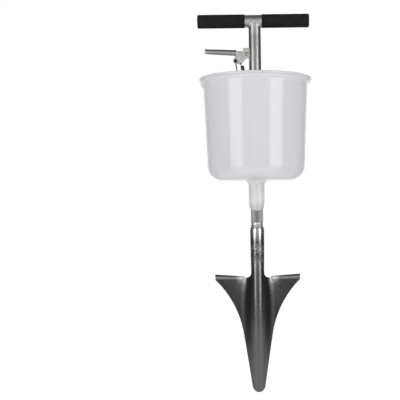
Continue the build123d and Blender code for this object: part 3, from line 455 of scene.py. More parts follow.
def lathe(name, outline, sides, rounds, cuts=()):
    """Spins an outline of (radius, height) points about Z; cuts holds (edge's index, number of cuts)."""
    points = [Vector((radius, 0, height)) for radius, height in outline]
    piece = draw_wire(name, points, rounds)
    for index, number_of_cuts in cuts:
        start, end = points[index], points[index + 1]
        select("EDGE", lambda edge: all(is_between(vert.co, start, end) for vert in edge.verts))
        bpy.ops.mesh.subdivide(number_cuts=number_of_cuts)
    bpy.ops.mesh.select_all(action="SELECT")
    bpy.ops.mesh.remove_doubles(threshold=NEAR)
    bpy.ops.mesh.spin(steps=sides, angle=2 * pi, center=(0, 0, 0), axis=(0, 0, 1))
    close_up(piece)
    return piece


def prism(name, corners, depth, rounds=()):
    """Solid over a flat outline, from the outline backwards."""
    piece = draw_wire(name, corners + corners[:1], rounds)
    bpy.ops.mesh.select_all(action="SELECT")
    bpy.ops.mesh.remove_doubles(threshold=NEAR)
    bpy.ops.mesh.edge_face_add()
    bpy.ops.mesh.extrude_region_move(TRANSFORM_OT_translate={"value": (0, depth, 0)})
    close_up(piece)
    return piece


# Node helpers for the materials

def plug(socket, value):
    """Feeds a socket from another node's socket or with a value; a colour is opaque."""
    if isinstance(value, bpy.types.NodeSocket):
        socket.id_data.links.new(value, socket)
    elif socket.type == "RGBA":
        socket.default_value = (*value, 1.0)
    else:
        socket.default_value = value


def put(tree, kind, inputs=None, **settings):
    """Adds a node, sets it and feeds its inputs with values or with other nodes' sockets."""
    made = tree.nodes.new(kind)
    for key, value in settings.items():
        setattr(made, key, value)
    for name, value in (inputs or {}).items():
        plug(made.inputs[name], value)
    return made


def bare_tree(owner):
    """Empty node tree of a material or a world."""
    owner.use_nodes = True
    owner.node_tree.nodes.clear()
    return owner.node_tree


def new_finish(name):
    """Starts a material: its shader, and the place of its surface in the object's frame."""
    FINISHES[name] = bpy.data.materials.new(name)
    tree = bare_tree(FINISHES[name])
    shader = put(tree, "ShaderNodeBsdfPrincipled")
    put(tree, "ShaderNodeOutputMaterial", {"Surface": shader.outputs["BSDF"]})
    return shader, put(tree, "ShaderNodeTexCoord").outputs["Object"]


def feed(shader, **sockets):
    """Links sockets or sets values on the shader; underscores stand for spaces."""
    for name, value in sockets.items():
        plug(shader.inputs[name.replace("_", " ")], value)


def bump(shader, height, strength, distance):
    """Roughens the surface, on top of what has been put on it before."""
    inputs = {"Height": height, "Strength": strength, "Distance": distance}
    normal = shader.inputs["Normal"]
    if normal.is_linked:
        inputs["Normal"] = normal.links[0].from_socket
    plug(normal, put(shader.id_data, "ShaderNodeBump", inputs).outputs["Normal"])


def stretched(spot, scale):
    return put(spot.id_data, "ShaderNodeMapping", {"Vector": spot, "Scale": scale}).outputs["Vector"]


def axes_of(spot):
    return put(spot.id_data, "ShaderNodeSeparateXYZ", {"Vector": spot}).outputs


def aside_of(spot):
    """Distance to either side of the middle."""
    return reckon("ABSOLUTE", axes_of(spot)["X"], 0.0)


def noise(spot, scale, detail=3.0, rough=0.5):
    inputs = {"Vector": spot, "Scale": scale, "Detail": detail, "Roughness": rough}
    return put(spot.id_data, "ShaderNodeTexNoise", inputs).outputs["Fac"]


def ramp(factor, *stops):
    """Colour ramp through (position, colour) stops."""
    made = put(factor.id_data, "ShaderNodeValToRGB", {"Fac": factor})
    elements = made.color_ramp.elements
    while len(elements) < len(stops):
        elements.new(1.0)
    for element, (position, tone) in zip(elements, stops):
        element.position = position
        element.color = (*tone, 1.0)
    return made.outputs["Color"]


def spread(value, low, high, new_low, new_high):
    """Maps a value from one range to another, held at its ends."""
    inputs = {"Value": value, "From Min": low, "From Max": high, "To Min": new_low, "To Max": new_high}
    return put(value.id_data, "ShaderNodeMapRange", inputs).outputs["Result"]


def rise(value, low, high, most=1.0):
    """Grows from 0 at low to the most at high."""
    return spread(value, low, high, 0.0, most)


def fall(value, low, high, most=1.0, least=0.0):
    """Sinks from the most at low to the least at high."""
    return spread(value, low, high, most, least)


def over_noise(value, first, second):
    """Maps the range that a noise mostly keeps to."""
    return spread(value, 0.3, 0.7, first, second)


def reckon(operation, first, second):
    return put(first.id_data, "ShaderNodeMath", {0: first, 1: second}, operation=operation).outputs["Value"]


def both(first, second):
    return reckon("MULTIPLY", first, second)


def band(value, start, full, fading, end):
    """1 from full to fading, and 0 before start and after end."""
    return both(rise(value, start, full), fall(value, fading, end))


def blend_tones(factor, first, second):
    """Mixes two colours, each a value or another node's socket."""
    made = put(factor.id_data, "ShaderNodeMix", data_type="RGBA")
    fed = {"Factor_Float": factor, "A_Color": first, "B_Color": second}
    for socket in made.inputs:
        if socket.identifier in fed:
            plug(socket, fed[socket.identifier])
    return next(socket for socket in made.outputs if socket.identifier == "Result_Color")


def darker(tone, level):
    return tuple(level * part for part in tone)


def grey(level):
    return (level, level, level)


# Finishes; heights and distances aside are in the object's frame

FINISHES = {}


def drawn_tube_finish(name, steel, shade, grain, rough):
    """Satin stainless tube with faint lines along its length; grain scales the noise along X, Y and Z."""
    shader, spot = new_finish(name)
    lines = noise(stretched(spot, grain), 1.0)
    feed(shader, Base_Color=ramp(lines, (0.30, shade), (0.66, steel)), Metallic=1.0,
         Roughness=over_noise(noise(spot, 21.0), *rough))
    bump(shader, lines, 0.03, 0.0003)
    return shader, spot


def cloudy_finish(name, tone, shade, clouds, stops, rough, metallic=1.0, skin=None):
    """Finish whose colour and roughness follow one noise.

    clouds holds the noise's scale, detail and roughness, stops where the shade ends and the tone begins,
    rough the roughness in the shade and in the tone, and skin the scale, strength and depth of a bump."""
    shader, spot = new_finish(name)
    patches = noise(spot, *clouds)
    feed(shader, Base_Color=ramp(patches, (stops[0], shade), (stops[1], tone)), Metallic=metallic,
         Roughness=over_noise(patches, *rough))
    if skin:
        scale, strength, depth = skin
        bump(shader, noise(spot, scale, 2.0), strength, depth)
    return shader, spot


def rubber_finish(name, tone, dust):
    """Matte black foam or rubber with open pores."""
    shader, spot = cloudy_finish(name, dust, tone, (60.0, 4.0, 0.6), (0.35, 0.72), (0.70, 0.86), 0.0)
    feed(shader, Specular_IOR_Level=0.14)
    pores = put(spot.id_data, "ShaderNodeTexVoronoi", {"Vector": spot, "Scale": 900.0})
    bump(shader, pores.outputs["Distance"], 0.35, 0.0004)


def post_finish(finishes):
    """Drawn tube, duller below the hopper with painted light on its sides and painted shade on its front and
    back, and ground bright under the crossbar's weld.
    """
    shader, spot = drawn_tube_finish("satin_post", finishes.tube_steel, finishes.tube_shade,
                                     (230.0, 230.0, 4.0), (0.29, 0.37))
    height = axes_of(spot)["Z"]
    patches = over_noise(noise(spot, 170.0, 3.0, 0.6), -0.15, 0.15)
    # Painted light on the sides and painted shade on the front and back, with random patches
    rubbed = reckon("ADD", rise(aside_of(spot), 0.003, 0.011), patches)
    foot = ramp(rubbed, (0.0, finishes.post_soil), (1.0, finishes.post_foot))
    neck_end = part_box("hopper")[0].z
    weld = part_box("tee_weld")[0].z
    dull = fall(height, neck_end + 0.010, neck_end + 0.030)
    ground = rise(height, weld - 0.028, weld + 0.004, 0.85)
    bright = shader.inputs["Base Color"].links[0].from_socket
    dulled = blend_tones(dull, bright, foot)
    feed(shader, Base_Color=blend_tones(ground, dulled, finishes.post_head),
         Metallic=fall(dull, 0.0, 1.0, 1.0, 0.35), Roughness=spread(dull, 0.0, 1.0, 0.32, 0.58))


def speckle(spot, ground):
    """Pits of a rough seam, within the ground that it covers."""
    return both(ground, rise(noise(spot, 260.0, 3.0, 0.6), 0.46, 0.54))


def socket_finish(finishes):
    """Polished socket, darker downwards, rough and speckled round its lower seam."""
    shader, spot = new_finish("polished_socket")
    height = axes_of(spot)["Z"]
    foot, top = (corner.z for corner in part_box("socket_tube"))
    down = fall(height, foot + 0.034, top - 0.012)
    upper = fall(height, foot + 0.010, foot + 0.034)
    ground = both(rise(height, foot - 0.016, foot + 0.004), upper)
    patch = speckle(spot, ground)
    grains = both(rise(height, foot - 0.002, foot + 0.014, 0.55), upper)
    bare = blend_tones(reckon("SUBTRACT", down, grains), finishes.socket_steel, finishes.socket_shade)
    edge = rise(height, top - 0.006, top - 0.001, 0.30)
    feed(shader, Base_Color=blend_tones(patch, bare, finishes.socket_pits), Metallic=1.0,
         Roughness=reckon("ADD", spread(ground, 0.0, 1.0, 0.25, 0.18), edge))
    bump(shader, patch, 0.65, 0.0010)


def blade_finish(finishes):
    """Dark polished sheet: bright neck, grimy wings, painted highlights on the ridge and in the folds, and
    painted shade beside the ridge, at the wing roots and towards the tip, streaked with wear.
    """
    shader, spot = new_finish("pressed_blade")
    height = axes_of(spot)["Z"]
    aside = aside_of(spot)
    lines = noise(stretched(spot, (210.0, 210.0, 5.0)), 1.0, 4.0, 0.6)
    clouds = noise(stretched(spot, (22.0, 22.0, 11.0)), 1.0, 4.0, 0.6)
    sheet = ramp(clouds, (0.30, finishes.blade_shade), (0.68, finishes.blade_steel))
    necked = blend_tones(rise(height, 0.305, 0.345), sheet, finishes.blade_neck)
    pits = speckle(spot, rise(height, 0.336, 0.356))
    polished = blend_tones(pits, necked, finishes.socket_pits)
    grains = noise(spot, 230.0, 4.0, 0.7)
    wing_tone = ramp(grains, (0.36, finishes.blade_grime), (0.66, finishes.blade_wing))
    lower_wings = both(rise(aside, 0.034, 0.040), fall(height, 0.22, 0.27))
    wings = reckon("MAXIMUM", rise(aside, 0.040, 0.060), lower_wings)
    winged = blend_tones(wings, polished, wing_tone)
    # Towards the tip: painted highlight along the ridge and painted shade beside it, streaked like wear
    worn = both(fall(height, 0.10, 0.25), over_noise(lines, 0.75, 1.0))
    ridge = blend_tones(rise(aside, 0.009, 0.015), finishes.blade_ridge, finishes.blade_wear)
    rubbed = blend_tones(worn, winged, ridge)
    beside_ridge = band(aside, 0.012, 0.022, 0.031, 0.038)
    # Painted shade in the hollows beside the ridge
    soil = both(beside_ridge, both(rise(height, 0.07, 0.14), fall(height, 0.18, 0.29, 1.0, 0.35)))
    soiled = blend_tones(soil, rubbed, finishes.blade_soil)
    root = band(aside, 0.030, 0.036, 0.044, 0.060)
    # Painted shade at the foot of the wings' roots
    root_foot = both(root, fall(height, 0.262, 0.290, 0.75))
    # Painted highlights on the top of the wings' roots and in the folds under the treads, brightest where
    # they meet
    root_top = both(root, rise(height, 0.283, 0.302))
    fold = both(band(height, 0.2945, 0.2995, 0.3020, 0.3042),
                both(rise(aside, 0.034, 0.040), fall(aside, 0.042, 0.066, 1.0, 0.5)))
    faded = blend_tones(root_foot, soiled, finishes.blade_soil)
    shined = blend_tones(reckon("MAXIMUM", root_top, fold), faded, finishes.blade_fold)
    glint = both(fold, fall(aside, 0.046, 0.058))
    feed(shader, Base_Color=blend_tones(glint, shined, finishes.blade_glint), Metallic=1.0,
         Roughness=reckon("ADD", over_noise(lines, 0.21, 0.27), rise(aside, 0.026, 0.042, 0.14)))
    bump(shader, lines, 0.02, 0.0003)
    bump(shader, pits, 0.55, 0.0010)


def hopper_finish(finishes, sizes):
    """Milky moulded plastic, cloudy, a little waxy and creamier in the thick neck, with painted shade on the
    rim's face and the neck's tip and painted light above the neck and under the rim.
    """
    shader, spot = new_finish("milky_plastic")
    clouds = noise(stretched(spot, (9.0, 9.0, 5.0)), 1.0)
    wall = ramp(clouds, (0.30, finishes.hopper_cloud), (0.70, finishes.hopper))
    height = axes_of(spot)["Z"]
    from_axis = put(spot.id_data, "ShaderNodeVectorMath", {0: stretched(spot, (1.0, 1.0, 0.0))},
                    operation="LENGTH").outputs["Value"]
    top, floor = sizes.rim_z, sizes.floor_z
    under = top - sizes.rim_height
    # Painted shade on the rim's face
    edge = band(height, under + 0.003, under + 0.006, top - 0.006, top - 0.002)
    rimmed = blend_tones(edge, wall, finishes.hopper_rim)
    necked = blend_tones(fall(height, floor - 0.012, floor + 0.004), rimmed, finishes.hopper_neck)
    # Painted shade towards the neck's end
    tip = fall(height, sizes.neck_end_z + 0.002, sizes.tip_z + 0.004)
    tipped = blend_tones(tip, necked, finishes.hopper_tip)
    root = both(rise(height, floor - 0.020, floor - 0.004), fall(from_axis, 0.034, 0.060))
    lit = both(rise(height, under - 0.007, under - 0.001, 0.7), fall(height, under + 0.001, under + 0.004))
    feed(shader, Base_Color=blend_tones(reckon("MAXIMUM", root, lit), tipped, finishes.hopper_glow),
         Roughness=over_noise(clouds, 0.11, 0.15), IOR=1.49, Subsurface_Weight=0.6,
         Subsurface_Radius=(0.95, 0.95, 1.0), Subsurface_Scale=0.010)
    bump(shader, noise(spot, 260.0), 0.03, 0.0003)


def make_finishes(settings):
    finishes = settings.finishes
    post_finish(finishes)
    drawn_tube_finish("satin_bar", finishes.bar_steel, finishes.bar_shade, (9.0, 230.0, 230.0), (0.40, 0.50))
    drawn_tube_finish("satin_lever", finishes.lever_steel, finishes.lever_shade, (4.0, 230.0, 230.0),
                      (0.34, 0.42))
    cloudy_finish("pickled_plate", finishes.plate_steel, darker(finishes.plate_steel, 0.84),
                  (130.0, 4.0, 0.6), (0.30, 0.66), (0.46, 0.58), skin=(700.0, 0.08, 0.0002))
    socket_finish(finishes)
    blade_finish(finishes)
    for name, shade, scale, stops in (("weld_bead", finishes.weld_tint, 190.0, (0.30, 0.56)),
                                      ("weld_crumbs", finishes.weld_pits, 300.0, (0.40, 0.50))):
        cloudy_finish(name, finishes.weld, shade, (scale, 4.0, 0.65), stops, (0.42, 0.20),
                      skin=(900.0, 0.25, 0.0002))
    for name, tone, rough in (("zinc_plate", finishes.zinc, (0.42, 0.28)),
                              ("black_oxide", finishes.black_oxide, (0.50, 0.34)),
                              ("rod_black", finishes.rod_black, (0.62, 0.48)),
                              ("oiled_spring", finishes.spring_steel, (0.42, 0.30))):
        cloudy_finish(name, tone, darker(tone, 0.70), (240.0, 4.0, 0.6), (0.32, 0.66), rough,
                      skin=(1400.0, 0.12, 0.0001))
    rubber_finish("black_foam", finishes.foam, finishes.foam_dust)
    rubber_finish("seal_rubber", finishes.seal_rubber, finishes.foam_dust)
    cloudy_finish("gate_plastic", finishes.gate, darker(finishes.gate, 0.90), (70.0,), (0.35, 0.65),
                  (0.38, 0.50), 0.0)
    hopper_finish(finishes, settings.hopper)


KEPT_NODES = {
    "crossbar_tube": "satin_bar",
    "handle_post": "satin_post",
    "lever_pivot_bolt": "zinc_plate",
    "lever_pivot_washer": "zinc_plate",
    "lever_pivot_nut": "zinc_plate",
    "neck_screws": "zinc_plate",
    "pull_rod_bolt": "black_oxide",
    "pull_rod_nut": "black_oxide",
    "pull_rod": "rod_black",
    "pull_rod_clip": "rod_black",
    "gate_sleeve": "gate_plastic",
    "floor_seal": "seal_rubber",
    "blade_weld": "polished_socket",
    "socket_tube": "polished_socket",
}


def finish_nodes():
    """Gives each solid that stays in view its finish."""
    for node, finish in KEPT_NODES.items():
        for slot in NODES[node].material_slots:
            slot.material = FINISHES[finish]


# Grips

def make_grips(settings):
    """Foam sleeves with one closed end, spun about the bar and left a little uneven."""
    sizes = settings.grips
    for node, inwards in (("left_grip", 1), ("right_grip", -1)):
        low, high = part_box(node)
        end = low if inwards > 0 else high
        radius = (high.z - low.z) / 2
        run = high.x - low.x
        bore = radius - sizes.wall
        outline = [(0, 0), (radius, 0), (radius, run), (bore, run), (bore, sizes.end), (0, sizes.end)]
        rounds = [(1, sizes.outer_round, 8), (2, sizes.inner_round, 5)]
        piece = lathe(f"{node}_sleeve", outline, sizes.sides, rounds, [(1, sizes.rings)])
        at_end = Matrix.Translation((end.x, 0, BAR_AXIS_Z))
        turn_into_place(piece, at_end @ Matrix.Rotation(inwards * pi / 2, 4, "Y"))
        skin = bpy.data.textures.new(f"{node}_dents", "CLOUDS")
        skin.noise_scale = sizes.dent_size
        modify(piece, "DISPLACE", texture=skin, texture_coords="GLOBAL", strength=sizes.dents, mid_level=1.0)
        smooth(piece)
        dress(piece, "frame", "black_foam", node)


# Welds

def make_bead(name, spots, radius, sizes, *extra):
    """Row of overlapping balls, grown together into one rippled skin; extra pieces are grown in too."""
    rng = random.Random(name)
    work_on(None)
    bpy.ops.mesh.primitive_ico_sphere_add(subdivisions=2, radius=radius)
    first = added("ripple")
    pieces = []
    for spot in spots:
        piece = linked("ripple", first.data.copy())
        grown = 1 + sizes.unevenness * rng.uniform(-1, 1)
        turn_into_place(piece, Matrix.Translation(spot) @ Matrix.Scale(grown, 4))
        pieces.append(piece)
    bpy.data.objects.remove(first)
    bead = pieces[0]
    work_on(bead)
    for piece in (*pieces, *extra):
        piece.select_set(True)
    bpy.ops.object.join()
    bead.name = name
    bead.data.name = name
    modify(bead, "REMESH", mode="VOXEL", voxel_size=sizes.grain)
    modify(bead, "SMOOTH", factor=0.5, iterations=2)
    smooth(bead, crease=pi)
    return bead


def line_spots(start, end, spacing):
    """Evenly spaced points from start to end, both included."""
    steps = max(1, round((end - start).length / spacing))
    return [start.lerp(end, step / steps) for step in range(steps + 1)]


def tee_weld(settings):
    """Bead along the saddle between post and crossbar."""
    sizes = settings.welds
    radius = sizes.tee_bead
    # The saddle is longer than the post's girth, and the bead stands a little out of its corner
    saddle = 1.2 * 2 * pi * POST_RADIUS
    outside = 0.2 * radius
    steps = round(saddle / (radius * sizes.spacing))
    spots = []
    for step in range(steps):
        turn = 2 * pi * step / steps
        from_post = Vector((cos(turn), sin(turn), 0))
        from_bar = Vector((0, sin(turn), -abs(cos(turn))))
        corner = Vector((POST_RADIUS * cos(turn), POST_RADIUS * sin(turn), 0))
        corner.z = BAR_AXIS_Z - POST_RADIUS * abs(cos(turn))
        spots.append(corner + (from_post + from_bar).normalized() * outside)
    bead = make_bead("tee_bead", spots, radius, sizes)
    dress(bead, "frame", "weld_bead", "tee_weld")


def corner_welds(settings, node, radius, name):
    """Two upright beads where a plate meets the post, one on each side of the plate."""
    sizes = settings.welds
    low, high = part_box(node)
    plate_half = high.y - radius
    x = -sqrt(POST_RADIUS ** 2 - plate_half ** 2)
    spots = []
    for side in (-1, 1):
        foot = Vector((x, side * plate_half, low.z + radius))
        top = Vector((x, side * plate_half, high.z - radius))
        spots += line_spots(foot, top, radius * sizes.spacing)
    bead = make_bead(name, spots, radius, sizes)
    dress(bead, "frame", "weld_bead", node)


def lever_weld(settings):
    """Beads on both faces of the crank, square to the lever at its mouth."""
    sizes = settings.welds
    radius = sizes.lever_bead
    low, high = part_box("lever_weld")
    spots = []
    for y in (low.y + radius, high.y - radius):
        foot = Vector((low.x + radius, y, low.z + radius))
        top = Vector((high.x - radius, y, high.z - radius))
        spots += line_spots(foot, top, radius * sizes.spacing)
    bead = make_bead("lever_beads", spots, radius, sizes)
    dress(bead, "lever", "weld_bead", "lever_weld")


def socket_weld(settings):
    """Uneven bead in the groove between post and socket, on a waisted ring."""
    sizes = settings.welds
    radius = sizes.socket_bead
    low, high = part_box("socket_weld")
    waist = high.x - 0.4 * radius
    ring_wall = 0.0025
    waist_round = 0.004
    bore = high.x - ring_wall
    middle = (low.z + high.z) / 2
    outline = [(bore, low.z), (high.x, low.z), (waist - radius / 2, middle), (high.x, high.z),
               (bore, high.z), (bore, low.z)]
    core = lathe("socket_groove", outline, 96, [(2, waist_round, 6)])
    rng = random.Random("socket_crumbs")
    spots = []
    for level, ring in ((middle, waist - 0.9 * radius), (low.z, high.x - radius)):
        steps = round(2 * pi * ring / (radius * sizes.spacing))
        for step in range(steps):
            turn = 2 * pi * step / steps
            height = level + radius * rng.uniform(-0.7, 0.7)
            spots.append(Vector((ring * cos(turn), ring * sin(turn), height)))
    bead = make_bead("socket_bead", spots, radius, sizes, core)
    dress(bead, "frame", "weld_crumbs", "socket_weld")


def make_welds(settings):
    tee_weld(settings)
    corner_welds(settings, "bracket_weld", settings.welds.bracket_bead, "bracket_beads")
    corner_welds(settings, "anchor_weld", settings.welds.anchor_bead, "anchor_beads")
    lever_weld(settings)
    socket_weld(settings)


# Plates

def web_crank(piece, sizes):
    """Fills the throat between the crank's hub and the spring's eye with a web."""
    front, back = (corner.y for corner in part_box("bell_crank"))
    foot = PIVOT + Vector((0, front, 0))
    corners = [foot + corner for corner in (
        sizes.web_foot, sizes.web_heel, sizes.web_hub, sizes.web_root, sizes.web_eye)]
    combine(piece, "UNION", prism("crank_web", corners, back - front))


def make_plates(settings):
    """Sheet-metal plates of the lever, with their cut edges broken."""
    for node, body in (("lever_bracket", "frame"), ("bell_crank", "lever"), ("spring_anchor", "frame")):
        piece = linked(f"{node}_plate", NODES[node].data.copy())
        close_up(piece)
        if node == "bell_crank":
            web_crank(piece, settings.lever)
        work_on(piece, "EDIT")
        bpy.ops.mesh.select_all(action="SELECT")
        bpy.ops.mesh.dissolve_limited(angle_limit=radians(2))
        break_edges(piece, settings.lever.edge)
        smooth(piece)
        dress(piece, body, "pickled_plate", node)


# Spade

def portion(value, low, high):
    """Share of the way from low to high, held at its ends."""
    return min(1.0, max(0.0, (value - low) / (high - low)))


def soft_rise(way, start, crest, end):
    """Height of a slope that steepens to 1 from start to crest and levels out again at end."""
    rising = portion(way, start, crest)
    falling = portion(way, crest, end)
    return (crest - start) * rising ** 2 / 2 + (end - crest) * (falling - falling ** 2 / 2)


def push(piece, strength, share_at):
    """Moves a piece's points along Y, each by its own share of the strength."""
    work_on(piece)
    group = piece.vertex_groups.new(name="push")
    for vert in piece.data.vertices:
        group.add([vert.index], share_at(vert.co), "REPLACE")
    modify(piece, "DISPLACE", direction="Y", mid_level=0.0, strength=strength, vertex_group="push")
    piece.vertex_groups.clear()


def trim_shoulders(piece, sizes):
    """Cuts the sheet to a round shoulder between the neck's side and the tread, on both sides."""
    # The cutter reaches past the sheet in front and behind, and stops just short of the tread
    front, back = (1.5 * corner.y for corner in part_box("spade_head"))
    outer = sizes.tread_root - 0.0005
    outline = ((sizes.neck_half, sizes.shoulder_top), (sizes.neck_half, sizes.shoulder_z),
               (outer, sizes.shoulder_z), (outer, sizes.shoulder_top))
    for side in (-1, 1):
        corners = [Vector((side * x, front, z)) for x, z in outline]
        cutter = prism("shoulder_cutter", corners, back - front, [(1, sizes.shoulder_round, 16)])
        combine(piece, "DIFFERENCE", cutter)


def lengthen_treads(piece, sizes):
    """Moves the inner ends of both treads towards the middle."""
    end_reach = 0.0035
    work_on(piece, "EDIT")
    for side in (-1, 1):
        select("VERT", lambda vert: vert.co.z > sizes.shoulder_z
               and -NEAR < side * vert.co.x - sizes.tread_root < end_reach)
        bpy.ops.transform.translate(value=(side * (sizes.tread_inner - sizes.tread_root), 0, 0))


def slice_wings(piece, sizes):
    """Cuts the wings into small faces, so that they can be swept and bent."""
    inner_width, outer_width, lower_height, bend_height = 0.0035, 0.006, 0.010, 0.003
    columns = [sizes.sweep_start + inner_width * step for step in range(4)]
    columns += [sizes.sweep_crest + outer_width * step for step in range(11)]
    rows = [sizes.bend_foot - lower_height * step for step in range(11)]
    rows += [sizes.bend_foot + bend_height * step for step in range(1, 10)]
    cuts = [((side, 0, 0), column) for side in (-1, 1) for column in columns]
    cuts += [((0, 0, 1), row) for row in rows]
    work_on(piece, "EDIT")
    for normal, distance in cuts:
        select("FACE", lambda face: any(abs(vert.co.x) > sizes.sweep_start for vert in face.verts))
        bpy.ops.mesh.bisect(plane_co=distance * Vector(normal), plane_no=normal)


def make_spade(settings):
    """Pressed blade whose wings sweep back in a soft dish and bend forwards into the treads."""
    sizes = settings.spade

    def sweep_at(spot):
        swept = soft_rise(abs(spot.x), sizes.sweep_start, sizes.sweep_crest, sizes.sweep_end)
        grown = portion(spot.z, sizes.sweep_foot, sizes.sweep_top)
        return swept * (sizes.sweep_least + (1 - sizes.sweep_least) * grown)

    def bend_at(spot):
        bent = soft_rise(spot.z, sizes.bend_foot, sizes.bend_crest, sizes.bend_top)
        return bent * portion(abs(spot.x), sizes.bend_inner, sizes.bend_outer)

    piece = linked("pressed_spade", NODES["spade_head"].data.copy())
    work_on(piece)
    bpy.ops.mesh.customdata_custom_splitnormals_clear()
    close_up(piece)
    trim_shoulders(piece, sizes)
    lengthen_treads(piece, sizes)
    slice_wings(piece, sizes)
    push(piece, sizes.sweep, sweep_at)
    push(piece, -sizes.bend, bend_at)
    close_up(piece)
    smooth(piece)
    dress(piece, "frame", "pressed_blade", "spade_head")


# Hand lever

def make_lever(settings):
    """Tapered tube, flattened at the crank and open at its end."""
    sizes = settings.lever
    run = sizes.tip - sizes.root
    work_on(None)
    bpy.ops.mesh.primitive_cylinder_add(vertices=sizes.sides, radius=sizes.diameter / 2, depth=run.length,
                                        end_fill_type="NOTHING", location=(0, 0, run.length / 2))
    piece = added("lever_tube")
    work_on(piece, "EDIT")
    select("VERT", lambda vert: vert.co.z < NEAR)
    flatten = (sizes.root_height / sizes.diameter, sizes.root_width / sizes.diameter, 1)
    bpy.ops.transform.resize(value=flatten, center_override=(0, 0, 0))
    select("EDGE", lambda edge: abs(edge.verts[0].co.z - edge.verts[1].co.z) > NEAR)
    bpy.ops.mesh.subdivide(number_cuts=12)
    modify(piece, "SOLIDIFY", thickness=sizes.wall, offset=-1)
    break_edges(piece, sizes.edge)
    along = run.normalized()
    across = Vector((0, 1, 0))
    upright = across.cross(along)
    axes = Matrix((upright, across, along)).transposed().to_4x4()
    turn_into_place(piece, Matrix.Translation(sizes.root) @ axes)
    smooth(piece)
    dress(piece, "lever", "satin_lever", "hand_lever")


# Return spring

def make_spring(settings):
    """Coil of one wire with a hook at each end."""
    sizes = settings.spring
    slope = sizes.pitch / (2 * pi * sizes.radius)
    bend_angle = pi / 2 - atan2(slope, 1)
    side = sizes.bend * (1 - cos(bend_angle))
    lift = sizes.bend * sin(bend_angle)
    span = sizes.top - sizes.foot
    half_span = span.length / 2
    hook = sqrt(half_span ** 2 - side ** 2)
    stem_end = hook - sizes.radius
    coil_top = stem_end - sizes.stem - lift
    coil_foot = coil_top - sizes.turns * sizes.pitch
    points = [(-side, -sizes.radius, stem_end - sizes.tail)]
    arc_steps = 10
    bend_steps = 4
    for step in range(arc_steps + 1):
        turn = pi * step / arc_steps
        points.append((-side, -sizes.radius * cos(turn), stem_end + sizes.radius * sin(turn)))
    for step in range(bend_steps + 1):
        turn = bend_angle * step / bend_steps
        points.append((-side + sizes.bend * (1 - cos(turn)), sizes.radius,
                       coil_top + lift - sizes.bend * sin(turn)))
    coil_steps = sizes.turns * sizes.steps
    for step in range(1, coil_steps):
        turn = pi / 2 - 2 * pi * step / sizes.steps
        points.append((sizes.radius * cos(turn), sizes.radius * sin(turn),
                       coil_top - sizes.pitch * step / sizes.steps))
    for step in range(bend_steps + 1):
        turn = bend_angle * (bend_steps - step) / bend_steps
        points.append((side - sizes.bend * (1 - cos(turn)), sizes.radius,
                       coil_foot - lift + sizes.bend * sin(turn)))
    for step in range(arc_steps + 1):
        turn = pi * step / arc_steps
        points.append((side, sizes.radius * cos(turn), -stem_end - sizes.radius * sin(turn)))
    points.append((side, -sizes.radius, sizes.tail - stem_end))
    curve = bpy.data.curves.new("spring_wire", "CURVE")
    curve.dimensions = "3D"
    curve.bevel_depth = sizes.wire / 2
    curve.bevel_resolution = 2
    curve.use_fill_caps = True
    spline = curve.splines.new("POLY")
    spline.points.add(len(points) - 1)
    for spot, point in zip(spline.points, points):
        spot.co = (*point, 1)
    work_on(linked("spring_wire", curve))
    bpy.ops.object.convert(target="MESH")
    piece = bpy.context.object
    lean = atan2(-span.x, span.z) - asin(side / half_span)
    middle = (sizes.top + sizes.foot) / 2
    turn_into_place(piece, Matrix.Translation(middle) @ Matrix.Rotation(-lean, 4, "Y"))
    close_up(piece)
    smooth(piece, crease=radians(60))
    dress(piece, None, "oiled_spring", "return_spring")
    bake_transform(piece)


# Hopper

def wall_radius(sizes, height):
    """Outer radius of the drafted wall at a height."""
    return sizes.foot_radius + sizes.draft * (height - sizes.floor_z) / (sizes.rim_z - sizes.floor_z)


def bucket_outline(sizes):
    """Section of the bucket with its rim, floor and neck, its rounded corners and its cut edges."""
    floor_top = sizes.floor_z + sizes.floor
    bore = POST_RADIUS + sizes.neck_fit
    rim_radius = wall_radius(sizes, sizes.rim_z) + sizes.rim_reach
    under = sizes.rim_z - sizes.rim_height
    skirt = rim_radius - sizes.rim_undercut
    low = sizes.neck_end_z - 2 * sizes.neck_radius
    tip_radius = sizes.neck_radius - sizes.neck_taper
    outline = [
        (bore, floor_top),
        (wall_radius(sizes, floor_top) - sizes.wall, floor_top),
        (wall_radius(sizes, sizes.rim_z) - sizes.wall, sizes.rim_z),
        (rim_radius, sizes.rim_z),
        (rim_radius, under + sizes.rim_slope),
        (skirt, under),
        (wall_radius(sizes, under), under),
        (wall_radius(sizes, sizes.floor_z), sizes.floor_z),
        (sizes.neck_radius, sizes.floor_z),
        (tip_radius, sizes.tip_z),
        (tip_radius - sizes.tip_taper * (sizes.tip_z - low), low),
        (bore, low),
        (bore, floor_top),
    ]
    mouth_round = 0.0009
    tip_round = 0.030
    rounds = [
        (1, sizes.corner - sizes.wall, 14), (2, mouth_round, 3), (3, sizes.rim_round, 6),
        (4, sizes.rim_round, 5), (5, sizes.rim_foot_round, 4), (6, sizes.rim_fillet, 5),
        (7, sizes.corner, 16), (8, sizes.neck_fillet, 12), (9, tip_round, 5),
    ]
    cuts = [(0, 8), (1, 40), (6, 40), (7, 8), (8, 8), (9, 10), (11, 12)]
    return outline, rounds, cuts


